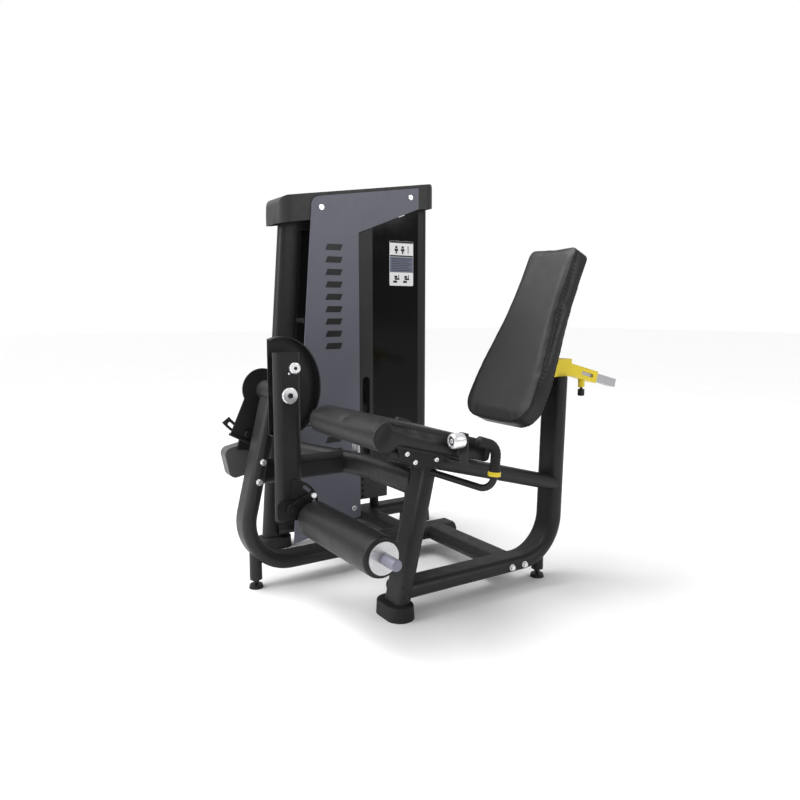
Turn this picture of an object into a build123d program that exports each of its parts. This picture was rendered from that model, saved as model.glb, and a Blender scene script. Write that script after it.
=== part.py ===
from build123d import *
import math
import os

# Selectorised leg extension machine, millimetres.
# The user sits facing -Y, +X is the user's left and +Z is up.
# The origin is on the floor, under the front post, in the seat's middle plane.

# ---- clearances ----
SOFT_GAP = 0.3          # between a cushion and what it rests near
RUN_FIT = 0.05          # radial clearance of a turning shaft
SLIDE_FIT = 0.5         # clearance round a part that slides
SIDE_GAP = 1.0          # clearance beside a turning part

# ---- frame tube: flat-sided oval ----
TUBE_LONG = 100.0
TUBE_SHORT = 50.0
TUBE_WALL = 3.0
BASE_Z = 80.0           # centre height of the base tubes
BEND_R = 150.0          # centre-line radius of the bent uprights
POST_LEAN = 13.3        # front post and lever upright, degrees back from vertical
LEVER_X = -440.0        # plane of the bent lever upright
LEVER_TUBE_END_Y = 530.0
REAR_Y = 643.0          # rear upright's centre line at base height
REAR_LEAN = 1.8
REAR_TOP_Z = 712.0
BEAM_JOINT_Y = 463.0    # where the base beam meets the bent rear tube
CROSS_Y = 450.0         # rear cross tube
LINK_Y = 330.0          # tower link tube
CAP_T = 4.0             # plastic tube plugs

# ---- feet ----
SHOE_LONG = 145.0
SHOE_WIDE = 90.0
SHOE_TALL = 45.0
SHOE_FLOOR = 8.0
STUB_R = 21.0
FOOT_R = 24.5
FOOT_T = 12.0
STUD_R = 6.0
LEVER_FOOT_Y = -281.0
REAR_FOOT_Y = 598.0

# ---- seat ----
SEAT_SLOPE = 15.1       # degrees down to the rear
SEAT_TUBE_Y = 113.0     # a point on the seat tube's centre line
SEAT_TUBE_Z = 480.0
SEAT_TUBE_FRONT = -40.0
SEAT_WIDTH = 400.0
SEAT_THICK = 62.0
SEAT_ROLL_R = 46.0
SEAT_ROLL_S = -282.0    # roll centre along the slope from the seat tube's point
SEAT_REAR_S = 87.0
PAN_T = 8.0
PAN_WIDTH = 330.0
CHEEK_T = 5.0
KNOB_X = 226.0          # clamp knob beside the seat
KNOB_Y = 62.0
KNOB_Z = 577.0
KNOB_R = 22.0
KNOB_STUD_R = 5.0

# ---- backrest ----
BACK_TILT = 25.4
BACK_FOOT_Y = 370.0
BACK_FOOT_Z = 584.0
BACK_LENGTH = 630.0
BACK_THICK = 67.0
BACK_TOP_HALF = 115.0
BACK_WIDE_HALF = 163.0
BACK_WIDE_S = 95.0
BACK_PLATE_T = 6.0
BAR_SLOPE = 14.5
BAR_Y = 685.0           # a point on the slide bar's centre line
BAR_Z = 742.0
BAR_SIZE = 30.0
BAR_REAR_Y = 957.0
SLEEVE_T = 6.0
SLEEVE_FRONT_Y = 612.0
SLEEVE_REAR_Y = 852.0
BAR_TRAVEL = 100.0
BAR_PIN_R = 5.5
BAR_HOLE_PITCH = 25.0

# ---- lever and pivot ----
PIVOT_Y = -211.0
PIVOT_Z = 669.0
SHAFT_R = 15.0
SHAFT_FAR_X = -585.0
HOUSING_R = 34.0
HOUSING_LONG = 102.0
ARM_X = -315.0          # plane of the lever arm
ARM_LONG = 90.0
ARM_SHORT = 45.0
ARM_TOP_Z = 802.0
ARM_FOOT_Z = 262.0
ARM_WALL = 4.0
PIVOT_CAP_R = 26.0
STOP_BOLT_R = 18.5
STOP_BOLT_Y = -193.0
STOP_BOLT_Z = 756.0
RANGE_BACK = 24.0       # travel of the range plate's pin each way, degrees
RANGE_AHEAD = 44.0

# ---- cam and cable ----
CABLE_R = 2.5
DRUM_PITCH_R = 117.5
DRUM_T = 14.0
WEB_T = 4.0
PAN_RIM_T = 4.0
PAN_HALF_Y = 133.0
PAN_HALF_Z = 165.0
PAN_CENTRE_Z = 690.0
PAN_FRONT_Y = -252.0
PULLEY_PITCH_R = 37.5
PULLEY_RIM_R = 42.0
PULLEY_T = 14.0
PULLEY_BORE_R = 6.0
RISER_Y = 135.0         # plane of the rising cable

# ---- roller ----
ROLLER_Y = -149.0
ROLLER_Z = 265.0
ROLLER_R = 62.0
ROLLER_FAR_X = -268.0
ROLLER_NEAR_X = 181.0
AXLE_R = 14.0
ROLLER_BORE_R = AXLE_R + 2.0
AXLE_END_X = 252.0
AXLE_END_R = 16.5
END_DISC_R = 47.0
ROLLER_HINGE_Z = 300.0
QUADRANT_R = 95.0
ROLLER_PIN_R = 80.0
ROLLER_PIN_ANGLE = 29.0

# ---- tower ----
TOWER_X = -800.0
FRONT_COLUMN_LEAN = 4.3
FRONT_COLUMN_Y = -69.0
REAR_COLUMN_Y = 608.0
COLUMN_TOP_FRONT = 1330.0
COLUMN_TOP_REAR = 1390.0
COVER_HALF_T = 84.0
COVER_WALL = 4.0
COVER_SLOPE = 8.67
COVER_TOP_Z = 1364.0    # top of the cover at its front end
COVER_CORNER_R = 60.0   # corners seen from above
PLATE_T = 5.0
PANEL_T = 3.0
PLATE_GAP = 1.0         # face plate in front of the cover's flank
SPLIT_Y = 280.0         # face plate's rear edge
STRIP_Y = 344.0         # strip panel's rear edge
PANEL_REAR_Y = 572.0
PANEL_FOOT_Z = 262.0
PLATE_FOOT_Z = 92.0
PIN_SLOT_Z = 440.0      # opening for the selector pin
PIN_SLOT_TALL = 460.0
PIN_SLOT_WIDE = 34.0

# ---- weight stack ----
STACK_Y = 312.0
ROD_PITCH = 170.0
ROD_R = 11.0
PLATE_LONG = 250.0
PLATE_WIDE = 104.0
PLATE_TALL = 24.0
PLATE_STEP = 24.3
RESTING_PLATES = 11
LIFTED_PLATES = 4
STACK_FOOT_Z = 150.0
HEAD_TALL = 34.0
ROD_BORE_R = ROD_R + 1.5
STEM_R = 13.0
STEM_BORE_R = STEM_R + 1.0
BUMPER_R = 19.0
RAIL_Z = 1290.0         # height of the top pulleys
RAIL_DROP = 42.0        # rails' lower edge below the pulleys
FITTING_R = 10.0        # cable fitting above the stem
FITTING_TALL = 46.0
PIN_BORE_R = 4.6

# ---- handles ----
HANDLE_R = 10.5
HANDLE_X = 222.0
GRIP_R = 16.0
COLLAR_R = 19.0


def between(start, end, radius, bore=0.0):
    """Round bar or ring from one point to another."""
    axis = Vector(end) - Vector(start)
    face = Circle(radius)
    if bore > 0:
        face -= Circle(bore)
    return extrude(Plane(origin=start, z_dir=axis) * face, amount=axis.length)


def along_x(x0, x1, y, z, radius, bore=0.0):
    return between((x0, y, z), (x1, y, z), radius, bore)


def block(x0, x1, y0, y1, z0, z1):
    centre = ((x0 + x1) / 2, (y0 + y1) / 2, (z0 + z1) / 2)
    return Pos(*centre) * Box(x1 - x0, y1 - y0, z1 - z0)


def slab_x(x0, x1, sketch):
    """Sketch drawn in (Y, Z) and thickened from x0 to x1."""
    return extrude(Plane.YZ.offset(x0) * sketch, amount=x1 - x0)


def outline(*points):
    return make_face(Polyline(*points, close=True))


def oval_bar(points, radius, long_dir, long, short):
    """Solid oval bar that follows straight runs joined by arcs."""
    path = FilletPolyline(*points, radius=radius) if len(points) > 2 else Line(*points)
    start = Plane(origin=path @ 0, x_dir=long_dir, z_dir=path % 0)
    return sweep(start * SlotOverall(long, short), path=path)


def oval_tube(points, radius, long_dir, long=TUBE_LONG, short=TUBE_SHORT, wall=TUBE_WALL):
    """Filled outer shape and hollow tube of one oval member."""
    outer = oval_bar(points, radius, long_dir, long, short)
    inner = oval_bar(points, radius, long_dir, long - 2 * wall, short - 2 * wall)
    return outer, outer - inner


def hex_bolt(x, y, z, direction, head_r=9.0, head_t=7.0, washer_r=11.0, washer_t=2.0):
    """Bolt head on its washer, standing on a face at the given point."""
    plane = Plane(origin=(x, y, z), z_dir=direction)
    washer = extrude(plane * Circle(washer_r), amount=washer_t)
    head = extrude(plane.offset(washer_t) * RegularPolygon(head_r, 6), amount=head_t)
    return washer + head


def button_bolt(x, y, z, direction, head_r=8.0, head_t=5.0):
    """Round-headed bolt with a hexagon socket."""
    plane = Plane(origin=(x, y, z), z_dir=direction)
    head = extrude(plane * Circle(head_r), amount=head_t)
    head = fillet(head.edges().group_by(SortBy.LENGTH)[-1].sort_by(Axis(plane.origin, plane.z_dir))[-1:], 2.0)
    return head - extrude(plane.offset(head_t / 2) * RegularPolygon(head_r / 2, 6), amount=head_t)


# ---- lines that other members are placed from ----
LEAN_T = math.tan(math.radians(POST_LEAN))
SLOPE_T = math.tan(math.radians(SEAT_SLOPE))
COLUMN_T = math.tan(math.radians(FRONT_COLUMN_LEAN))
REAR_T = math.tan(math.radians(REAR_LEAN))
BAR_T = math.tan(math.radians(BAR_SLOPE))


def post_y(z):
    """Front post's centre line."""
    return z * LEAN_T


def upright_y(z):
    """Lever upright's centre line, which passes through the pivot."""
    return PIVOT_Y - (PIVOT_Z - z) * LEAN_T


def rear_y(z):
    return REAR_Y + (z - BASE_Z) * REAR_T


def seat_z(y):
    """Seat tube's centre line."""
    return SEAT_TUBE_Z - (y - SEAT_TUBE_Y) * SLOPE_T


def column_y(z):
    return FRONT_COLUMN_Y + z * COLUMN_T


def bar_z(y):
    return BAR_Z - (y - BAR_Y) * BAR_T


def seat_plane(x):
    """Plane whose X runs down the seat's slope and whose Y is the seat's normal."""
    a = math.radians(SEAT_SLOPE)
    return Plane(origin=(x, SEAT_TUBE_Y, SEAT_TUBE_Z), x_dir=(0, math.cos(a), -math.sin(a)), z_dir=(1, 0, 0))


def back_plane(depth):
    """Plane parallel to the backrest's front, depth behind it; X across, Y up the pad."""
    a = math.radians(BACK_TILT)
    behind = Vector(0, math.cos(a), -math.sin(a))
    origin = Vector(0, BACK_FOOT_Y, BACK_FOOT_Z) + behind * depth
    return Plane(origin=origin, x_dir=(1, 0, 0), z_dir=(0, -math.cos(a), math.sin(a)))


def bar_plane(y):
    """Plane across the slide bar at a given Y, looking to the rear along the bar."""
    a = math.radians(BAR_SLOPE)
    return Plane(origin=(0, y, bar_z(y)), x_dir=(1, 0, 0), z_dir=(0, math.cos(a), -math.sin(a)))


X_LONG = (1, 0, 0)
Y_LONG = (0, 1, 0)
Z_LONG = (0, 0, 1)
HALF = TUBE_SHORT / 2
CROSS_Z = 398.0         # seat cross tube's centre height
CROSS_TALL = 82.0
CROSS_BEND_X = -330.0
CROSS_BEND_R = 260.0
NODES = {}


def build_base():
    """Base tubes, bent uprights, posts and the tubes that tie them together."""
    post_top = seat_z(post_y(SEAT_TUBE_Z))
    post = oval_tube([(0, 0, 0), (0, post_y(post_top), post_top)], 0, X_LONG)
    rear = oval_tube([(0, BEAM_JOINT_Y, BASE_Z), (0, REAR_Y, BASE_Z), (0, rear_y(REAR_TOP_Z), REAR_TOP_Z)],
                     BEND_R, X_LONG)
    upright_top = PIVOT_Z
    lever = oval_tube([(LEVER_X, LEVER_TUBE_END_Y, BASE_Z), (LEVER_X, upright_y(BASE_Z), BASE_Z),
                       (LEVER_X, upright_y(upright_top), upright_top)], BEND_R, X_LONG)
    seat = oval_tube([(0, SEAT_TUBE_FRONT, seat_z(SEAT_TUBE_FRONT)), (0, REAR_Y, seat_z(REAR_Y))], 0, X_LONG)
    beam = oval_tube([(0, 0, BASE_Z), (0, BEAM_JOINT_Y, BASE_Z)], 0, X_LONG)
    cross = oval_tube([(LEVER_X, CROSS_Y, BASE_Z), (0, CROSS_Y, BASE_Z)], 0, Y_LONG)
    link = oval_tube([(TOWER_X, LINK_Y, BASE_Z), (LEVER_X, LINK_Y, BASE_Z)], 0, Y_LONG)
    front_column = oval_tube([(TOWER_X, column_y(0), 0), (TOWER_X, column_y(COLUMN_TOP_FRONT), COLUMN_TOP_FRONT)],
                             0, Y_LONG)
    rear_column = oval_tube([(TOWER_X, REAR_COLUMN_Y, SHOE_FLOOR), (TOWER_X, REAR_COLUMN_Y, COLUMN_TOP_REAR)],
                            0, Y_LONG)
    tower_beam = oval_tube([(TOWER_X, column_y(BASE_Z), BASE_Z), (TOWER_X, REAR_COLUMN_Y, BASE_Z)], 0, X_LONG)
    cross_end_y = column_y(CROSS_Z)
    curved = oval_tube([(-TUBE_LONG / 2 + 20, post_y(CROSS_Z), CROSS_Z), (CROSS_BEND_X, post_y(CROSS_Z), CROSS_Z),
                        (TOWER_X, cross_end_y, CROSS_Z)], CROSS_BEND_R, Z_LONG, long=CROSS_TALL)
    tie = oval_tube([(LEVER_X, upright_y(CROSS_Z), CROSS_Z), (LEVER_X, post_y(CROSS_Z), CROSS_Z)],
                    0, Z_LONG, long=CROSS_TALL)
    floor_cut = block(-1200, 300, -600, 1200, -100, SHOE_FLOOR)
    housing = along_x(LEVER_X - HOUSING_LONG / 2, LEVER_X + HOUSING_LONG / 2, PIVOT_Y, PIVOT_Z, HOUSING_R)

    NODES["front_post"] = post[1] - floor_cut - seat[0]
    NODES["base_beam"] = (beam[1] - post[0]) + (cross[1] - lever[0] - beam[0] - rear[0])
    NODES["rear_upright"] = rear[1] + foot_stub(0, REAR_FOOT_Y, rear[0])
    bore = along_x(LEVER_X - HOUSING_LONG, LEVER_X + HOUSING_LONG, PIVOT_Y, PIVOT_Z, SHAFT_R + RUN_FIT)
    NODES["lever_upright"] = (lever[1] + housing - bore) + foot_stub(LEVER_X, LEVER_FOOT_Y, lever[0])
    NODES["seat_tube"] = seat[1] - rear[0]
    NODES["tower_front_column"] = front_column[1] - floor_cut
    NODES["tower_rear_column"] = rear_column[1]
    base = tower_beam[1] - front_column[0] - rear_column[0]
    NODES["tower_base"] = base + (link[1] - lever[0] - tower_beam[0])
    stub = (tie[1] - lever[0] - curved[0]).solids().sort_by(Axis.Y)[0]
    NODES["seat_cross_tube"] = (curved[1] - post[0] - front_column[0]) + stub
    return {"post": post, "rear": rear, "lever": lever, "seat": seat, "beam": beam, "curved": curved,
            "front_column": front_column, "rear_column": rear_column, "tower_beam": tower_beam, "link": link}


def foot_stub(x, y, bar):
    """Round leg under a bent tube, bored for the levelling foot's stud."""
    leg = between((x, y, FOOT_T + 18), (x, y, BASE_Z + 60), STUB_R, STUD_R) - bar
    return leg.solids().sort_by(Axis.Z)[0]


def build_plugs():
    """Plastic plugs over the open tube ends."""
    seat_front = Plane(origin=(0, SEAT_TUBE_FRONT, seat_z(SEAT_TUBE_FRONT)), x_dir=X_LONG,
                       z_dir=(0, -math.cos(math.radians(SEAT_SLOPE)), math.sin(math.radians(SEAT_SLOPE))))
    seat_plug = extrude(seat_front * SlotOverall(TUBE_LONG, TUBE_SHORT), amount=CAP_T)
    lever_end = Plane(origin=(LEVER_X, LEVER_TUBE_END_Y, BASE_Z), x_dir=X_LONG, z_dir=(0, 1, 0))
    lever_plug = extrude(lever_end * SlotOverall(TUBE_LONG, TUBE_SHORT), amount=CAP_T)
    NODES["tube_plugs"] = Compound(children=[seat_plug, lever_plug])


def shoe(x, y, column, long_dir):
    """Rubber shoe round the foot of a post, shaped to the oval of the post."""
    plane = Plane(origin=(x, y, 0), x_dir=long_dir, z_dir=(0, 0, 1))
    body = extrude(plane * SlotOverall(SHOE_LONG, SHOE_WIDE), amount=SHOE_TALL, taper=3)
    body = fillet(body.edges().group_by(Axis.Z)[-1], 5)
    return body - column


def build_feet(bars):
    seat_side = shoe(0, post_y(SHOE_FLOOR), raised(bars["post"][0]), X_LONG)
    front = shoe(TOWER_X, column_y(SHOE_FLOOR), raised(bars["front_column"][0]), Y_LONG)
    rear = shoe(TOWER_X, REAR_COLUMN_Y, bars["rear_column"][0], Y_LONG)
    NODES["rubber_shoes"] = Compound(children=[seat_side, front - bars["tower_beam"][0],
                                               rear - bars["tower_beam"][0]])
    feet = []
    for x, y in ((LEVER_X, LEVER_FOOT_Y), (0, REAR_FOOT_Y)):
        pad = Pos(x, y, 0) * extrude(Circle(FOOT_R), amount=FOOT_T, taper=15)
        stud = between((x, y, FOOT_T), (x, y, FOOT_T + 40), STUD_R)
        nut = extrude(Plane(origin=(x, y, FOOT_T + 8)) * RegularPolygon(10, 6), amount=8)
        feet.append(pad + stud + nut)
    NODES["levelling_feet"] = Compound(children=feet)


def raised(solid):
    """The part of a post that stands on its shoe's floor."""
    return solid - block(-1200, 300, -600, 1200, -100, SHOE_FLOOR)


def build_seat(bars):
    plane = seat_plane
    low = HALF + PAN_T + SOFT_GAP
    top = low + SEAT_THICK
    slab = outline((SEAT_ROLL_S, low), (SEAT_REAR_S, low), (SEAT_REAR_S, top), (SEAT_ROLL_S, top))
    profile = slab + Pos(SEAT_ROLL_S, top - SEAT_ROLL_R) * Circle(SEAT_ROLL_R)
    cushion = extrude(plane(-SEAT_WIDTH / 2) * profile, amount=SEAT_WIDTH)
    rear_edges = cushion.edges().filter_by(Axis.X).sort_by(Axis.Y)[-2:]
    NODES["seat_cushion"] = fillet(rear_edges, 12)
    board = outline((SEAT_ROLL_S + 50, HALF), (SEAT_REAR_S - 20, HALF),
                    (SEAT_REAR_S - 20, HALF + PAN_T), (SEAT_ROLL_S + 50, HALF + PAN_T))
    pan = extrude(plane(-PAN_WIDTH / 2) * board, amount=PAN_WIDTH)
    cheek = outline((-150, HALF), (40, HALF), (20, -10), (-60, -30), (-130, -10))
    for x0 in (-TUBE_LONG / 2 - CHEEK_T, TUBE_LONG / 2):
        pan = pan + extrude(plane(x0) * cheek, amount=CHEEK_T)
    tab = seat_z(KNOB_Y + 30) + HALF / math.cos(math.radians(SEAT_SLOPE))
    arm = block(PAN_WIDTH / 2 - 20, KNOB_X + 18, KNOB_Y + 24, KNOB_Y + 34, tab - 6, tab + 1)
    arm = arm + block(KNOB_X - 18, KNOB_X + 18, KNOB_Y + 24, KNOB_Y + 30, tab - 6, KNOB_Z + 20)
    arm = arm - between((KNOB_X, KNOB_Y, KNOB_Z), (KNOB_X, KNOB_Y + 40, KNOB_Z), KNOB_STUD_R + RUN_FIT)
    NODES["seat_pan"] = pan + arm
    bolts = []
    for s, n in ((-110, 8), (-75, -12), (0, 8)):
        point = plane(TUBE_LONG / 2 + CHEEK_T).from_local_coords((s, n, 0))
        bolts.append(button_bolt(point.X, point.Y, point.Z, (1, 0, 0)))
        bolts.append(button_bolt(-point.X, point.Y, point.Z, (-1, 0, 0)))
    return bolts


def build_handles(bars):
    bars_out, grips, collars = [], [], []
    for side in (-1, 1):
        start = (side * 20, 92, 452)
        low = (side * HANDLE_X, 200, 412)
        elbow = (side * HANDLE_X, 212, 545)
        high = (side * HANDLE_X, 148, 566)
        path = FilletPolyline(start, low, elbow, high, radius=38)
        rod = sweep(Plane(origin=path @ 0, z_dir=path % 0) * Circle(HANDLE_R), path=path)
        rod = rod - bars["seat"][0] - bars["post"][0] - NODES["seat_pan"] - bars["curved"][0]
        rod = rod.solids().sort_by(SortBy.VOLUME)[-1]
        up = (Vector(*elbow) - Vector(*low)).normalized()
        foot = Vector(*low) + up * 46
        collar = between(foot, foot + up * 13, COLLAR_R) - rod
        ahead = (Vector(*high) - Vector(*elbow)).normalized()
        line = FilletPolyline(foot + up * 13, elbow, Vector(*high) + ahead * 8, radius=38)
        grip = sweep(Plane(origin=line @ 0, z_dir=line % 0) * Circle(GRIP_R), path=line)
        grip = fillet(grip.edges().filter_by(GeomType.CIRCLE).group_by(Axis.Y)[0], 7) - rod
        bars_out.append(rod)
        grips.append(grip)
        collars.append(collar)
    NODES["handle_bars"] = Compound(children=bars_out)
    NODES["handle_grips"] = Compound(children=grips)
    NODES["handle_collars"] = Compound(children=collars)
    body = between((KNOB_X, KNOB_Y - 19, KNOB_Z), (KNOB_X, KNOB_Y + 23, KNOB_Z), KNOB_R)
    body = fillet(body.edges().sort_by(Axis.Y)[-1:], 9)
    stud = between((KNOB_X, KNOB_Y, KNOB_Z), (KNOB_X, KNOB_Y + 31, KNOB_Z), KNOB_STUD_R)
    NODES["side_knob"] = body + stud


def pad_outline(inset=0.0):
    """Backrest outline: narrow top, waisted sides that widen to a rounded foot."""
    top = BACK_LENGTH - inset
    narrow = BACK_TOP_HALF - inset
    wide = BACK_WIDE_HALF - inset
    right = Spline((narrow, top - 40), (narrow + 8, 430), (wide - 6, 190), (wide, BACK_WIDE_S),
                   tangents=[(0.05, -1), (0, -1)])
    left = Spline((-wide, BACK_WIDE_S), (-wide + 6, 190), (-narrow - 8, 430), (-narrow, top - 40),
                  tangents=[(0, 1), (0.05, 1)])
    crown = Polyline((-narrow, top - 40), (-narrow, top), (narrow, top), (narrow, top - 40))
    foot = Polyline((wide, BACK_WIDE_S), (wide, inset), (-wide, inset), (-wide, BACK_WIDE_S))
    return make_face(Curve() + [right, foot, left, crown])


def build_backrest(bars):
    pad = extrude(back_plane(BACK_THICK) * pad_outline(), amount=BACK_THICK)
    front = back_plane(0)
    corners = pad.edges().filter_by(Axis(front.origin, front.z_dir)).sort_by(Axis.Z)
    pad = fillet(corners[:2], 80)
    corners = pad.edges().filter_by(Axis(front.origin, front.z_dir)).sort_by(Axis.Z)
    NODES["backrest_pad"] = fillet(corners[-2:], 28)
    plate_depth = BACK_THICK + SOFT_GAP + BACK_PLATE_T
    plate_sketch = Pos(0, 250) * RectangleRounded(200, 340, 30)
    plate = extrude(back_plane(plate_depth) * plate_sketch, amount=BACK_PLATE_T)
    ahead = extrude(back_plane(plate_depth) * Rectangle(900, 2400), amount=600)
    reach = bar_plane(BAR_REAR_Y)
    run = (BAR_REAR_Y - 400) / math.cos(math.radians(BAR_SLOPE))
    bar = extrude(reach * Rectangle(BAR_SIZE, BAR_SIZE), amount=-run) - ahead
    pin_y = SLEEVE_REAR_Y - 58
    holes = []
    for step in range(-1, 6):
        y = pin_y + step * BAR_HOLE_PITCH * math.cos(math.radians(BAR_SLOPE))
        holes.append(between((0, y, bar_z(y) - BAR_SIZE), (0, y, bar_z(y)), BAR_PIN_R + RUN_FIT))
    NODES["slide_bar"] = bar - holes
    bracket_y = 520.0
    channel = extrude(bar_plane(bracket_y + 62) * Rectangle(58, 96), amount=-130)
    channel = channel - extrude(bar_plane(bracket_y + 62) * Rectangle(BAR_SIZE, 100), amount=-130) - ahead
    NODES["backrest_bracket"] = plate + channel
    length = (SLEEVE_REAR_Y - SLEEVE_FRONT_Y) / math.cos(math.radians(BAR_SLOPE))
    bore = BAR_SIZE + 2 * SLIDE_FIT
    outer = bore + 2 * SLEEVE_T
    rear_face = bar_plane(SLEEVE_REAR_Y)
    pin_hole = between((0, pin_y, bar_z(pin_y) - 60), (0, pin_y, bar_z(pin_y)), BAR_PIN_R)
    sleeve = extrude(rear_face * (RectangleRounded(outer, outer, 4) - Rectangle(bore, bore)), amount=-length)
    slot_mid = bar_plane(SLEEVE_REAR_Y - 50)
    slot = extrude(Plane(origin=slot_mid.origin, x_dir=slot_mid.z_dir, z_dir=(1, 0, 0))
                   * SlotOverall(62, 13), amount=outer)
    NODES["slide_sleeve"] = sleeve - slot - pin_hole
    neck_r = 8.0
    under = bar_z(pin_y) - outer / 2 / math.cos(math.radians(BAR_SLOPE))
    collar = between((0, pin_y, under - 26), (0, pin_y, bar_z(pin_y)), neck_r + 4, BAR_PIN_R)
    sleeve_fill = extrude(rear_face * Rectangle(outer, outer), amount=-length)
    collar = (collar - sleeve_fill).solids().sort_by(Axis.Z)[0]
    pin = between((0, pin_y, under - 34), (0, pin_y, bar_z(pin_y) - BAR_SIZE / 2 - 2), BAR_PIN_R - RUN_FIT)
    knob = between((0, pin_y, under - 58), (0, pin_y, under - 34), 12)
    NODES["slide_pin"] = pin + fillet(knob.edges().group_by(Axis.Z)[0], 4)
    saddle_y = rear_y(REAR_TOP_Z)
    saddle = block(-34, 34, saddle_y - 45, saddle_y + 45, REAR_TOP_Z, REAR_TOP_Z + 60) - sleeve_fill
    saddle = (saddle - bars["rear"][0]).solids().sort_by(Axis.Z)[0]
    NODES["sleeve_mounts"] = Compound(children=[saddle, collar])


def build_pivot():
    near = ARM_X + ARM_SHORT / 2
    NODES["pivot_shaft"] = along_x(SHAFT_FAR_X, near, PIVOT_Y, PIVOT_Z, SHAFT_R)
    cap = along_x(near, near + 9, PIVOT_Y, PIVOT_Z, PIVOT_CAP_R)
    cap = fillet(cap.edges().sort_by(Axis.X)[-1:], 3) - along_x(near + 6, near + 10, PIVOT_Y, PIVOT_Z, 9)
    stop = along_x(near, near + 12, STOP_BOLT_Y, STOP_BOLT_Z, STOP_BOLT_R)
    stop = fillet(stop.edges().sort_by(Axis.X)[-1:], 4)
    pilot = along_x(near, near + 3, PIVOT_Y - 1, STOP_BOLT_Z - 17, 3.2)
    NODES["pivot_caps"] = Compound(children=[cap, stop, pilot])


def cam_face(inset=0.0):
    """Outline of the cam guard: a D open at the front."""
    ellipse = Pos(PIVOT_Y, PAN_CENTRE_Z) * Ellipse(PAN_HALF_Y - inset, PAN_HALF_Z - inset)
    keep = outline((PAN_FRONT_Y, 400), (100, 400), (100, 1000), (PAN_FRONT_Y, 1000))
    return ellipse & keep


def build_lever():
    arm = oval_tube([(ARM_X, PIVOT_Y, ARM_FOOT_Z), (ARM_X, PIVOT_Y, ARM_TOP_Z)], 0, Y_LONG,
                    long=ARM_LONG, short=ARM_SHORT, wall=ARM_WALL)
    boss = along_x(ARM_X - ARM_SHORT / 2, ARM_X + ARM_SHORT / 2, PIVOT_Y, PIVOT_Z, 24)
    NODES["lever_arm"] = arm[1] + (boss & arm[0]) - NODES["pivot_shaft"]
    top = Plane(origin=(ARM_X, PIVOT_Y, ARM_TOP_Z), x_dir=Y_LONG, z_dir=(0, 0, 1))
    low = Plane(origin=(ARM_X, PIVOT_Y, ARM_FOOT_Z), x_dir=Y_LONG, z_dir=(0, 0, -1))
    plug = extrude(top * SlotOverall(ARM_LONG, ARM_SHORT), amount=CAP_T)
    foot = extrude(low * SlotOverall(ARM_LONG, ARM_SHORT), amount=CAP_T)
    NODES["arm_caps"] = Compound(children=[plug, foot])
    rear = ARM_X - ARM_SHORT / 2
    web_near = rear - 30
    web_far = web_near - WEB_T
    drum_far = web_far - DRUM_T
    spacer = along_x(web_near, rear, PIVOT_Y, PIVOT_Z, 24, SHAFT_R)
    web = slab_x(web_far, web_near, cam_face()) - NODES["pivot_shaft"]
    rim = slab_x(web_near, rear, cam_face() - cam_face(PAN_RIM_T))
    rim = rim - block(web_near - 1, rear + 1, PAN_FRONT_Y - 1, PAN_FRONT_Y + 1, 400, 1000)
    guard = (web + rim).solids().sort_by(SortBy.VOLUME)[-1]
    sector = Pos(PIVOT_Y, PIVOT_Z) * (Circle(DRUM_PITCH_R + 2.5) - Circle(SHAFT_R))
    wedge = outline((PIVOT_Y - 30, PIVOT_Z), (PIVOT_Y - 30, PIVOT_Z - 200), (PIVOT_Y + 200, PIVOT_Z - 200),
                    (PIVOT_Y + 200, PIVOT_Z + 60), (PIVOT_Y, PIVOT_Z + 30))
    drum = slab_x(drum_far, web_far, sector & wedge)
    mid = (drum_far + web_far) / 2
    groove_ring = Plane(origin=(mid, PIVOT_Y, PIVOT_Z), z_dir=(1, 0, 0))
    groove = extrude(groove_ring * (Circle(DRUM_PITCH_R + 10) - Circle(DRUM_PITCH_R - CABLE_R - 0.1)),
                     amount=CABLE_R + 0.1, both=True)
    NODES["cam_guard"] = guard + (drum - groove)
    return mid, spacer


def curved_slot(y, z, radius, start, end, half_width):
    """Slot along an arc about (y, z), angles in degrees from +Y toward +Z."""
    middle = CenterArc((y, z), radius, start, end - start)
    ring = Pos(y, z) * (Circle(radius + half_width) - Circle(radius - half_width))
    reach = 3 * radius
    a0 = math.radians(start)
    a1 = math.radians(end)
    mid = (a0 + a1) / 2
    wedge = outline((y, z), (y + reach * math.cos(a0), z + reach * math.sin(a0)),
                    (y + reach * math.cos(mid), z + reach * math.sin(mid)),
                    (y + reach * math.cos(a1), z + reach * math.sin(a1)))
    slot = ring & wedge
    for end_point in (middle @ 0, middle @ 1):
        slot += Pos(end_point.X, end_point.Y) * Circle(half_width)
    return slot


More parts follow.
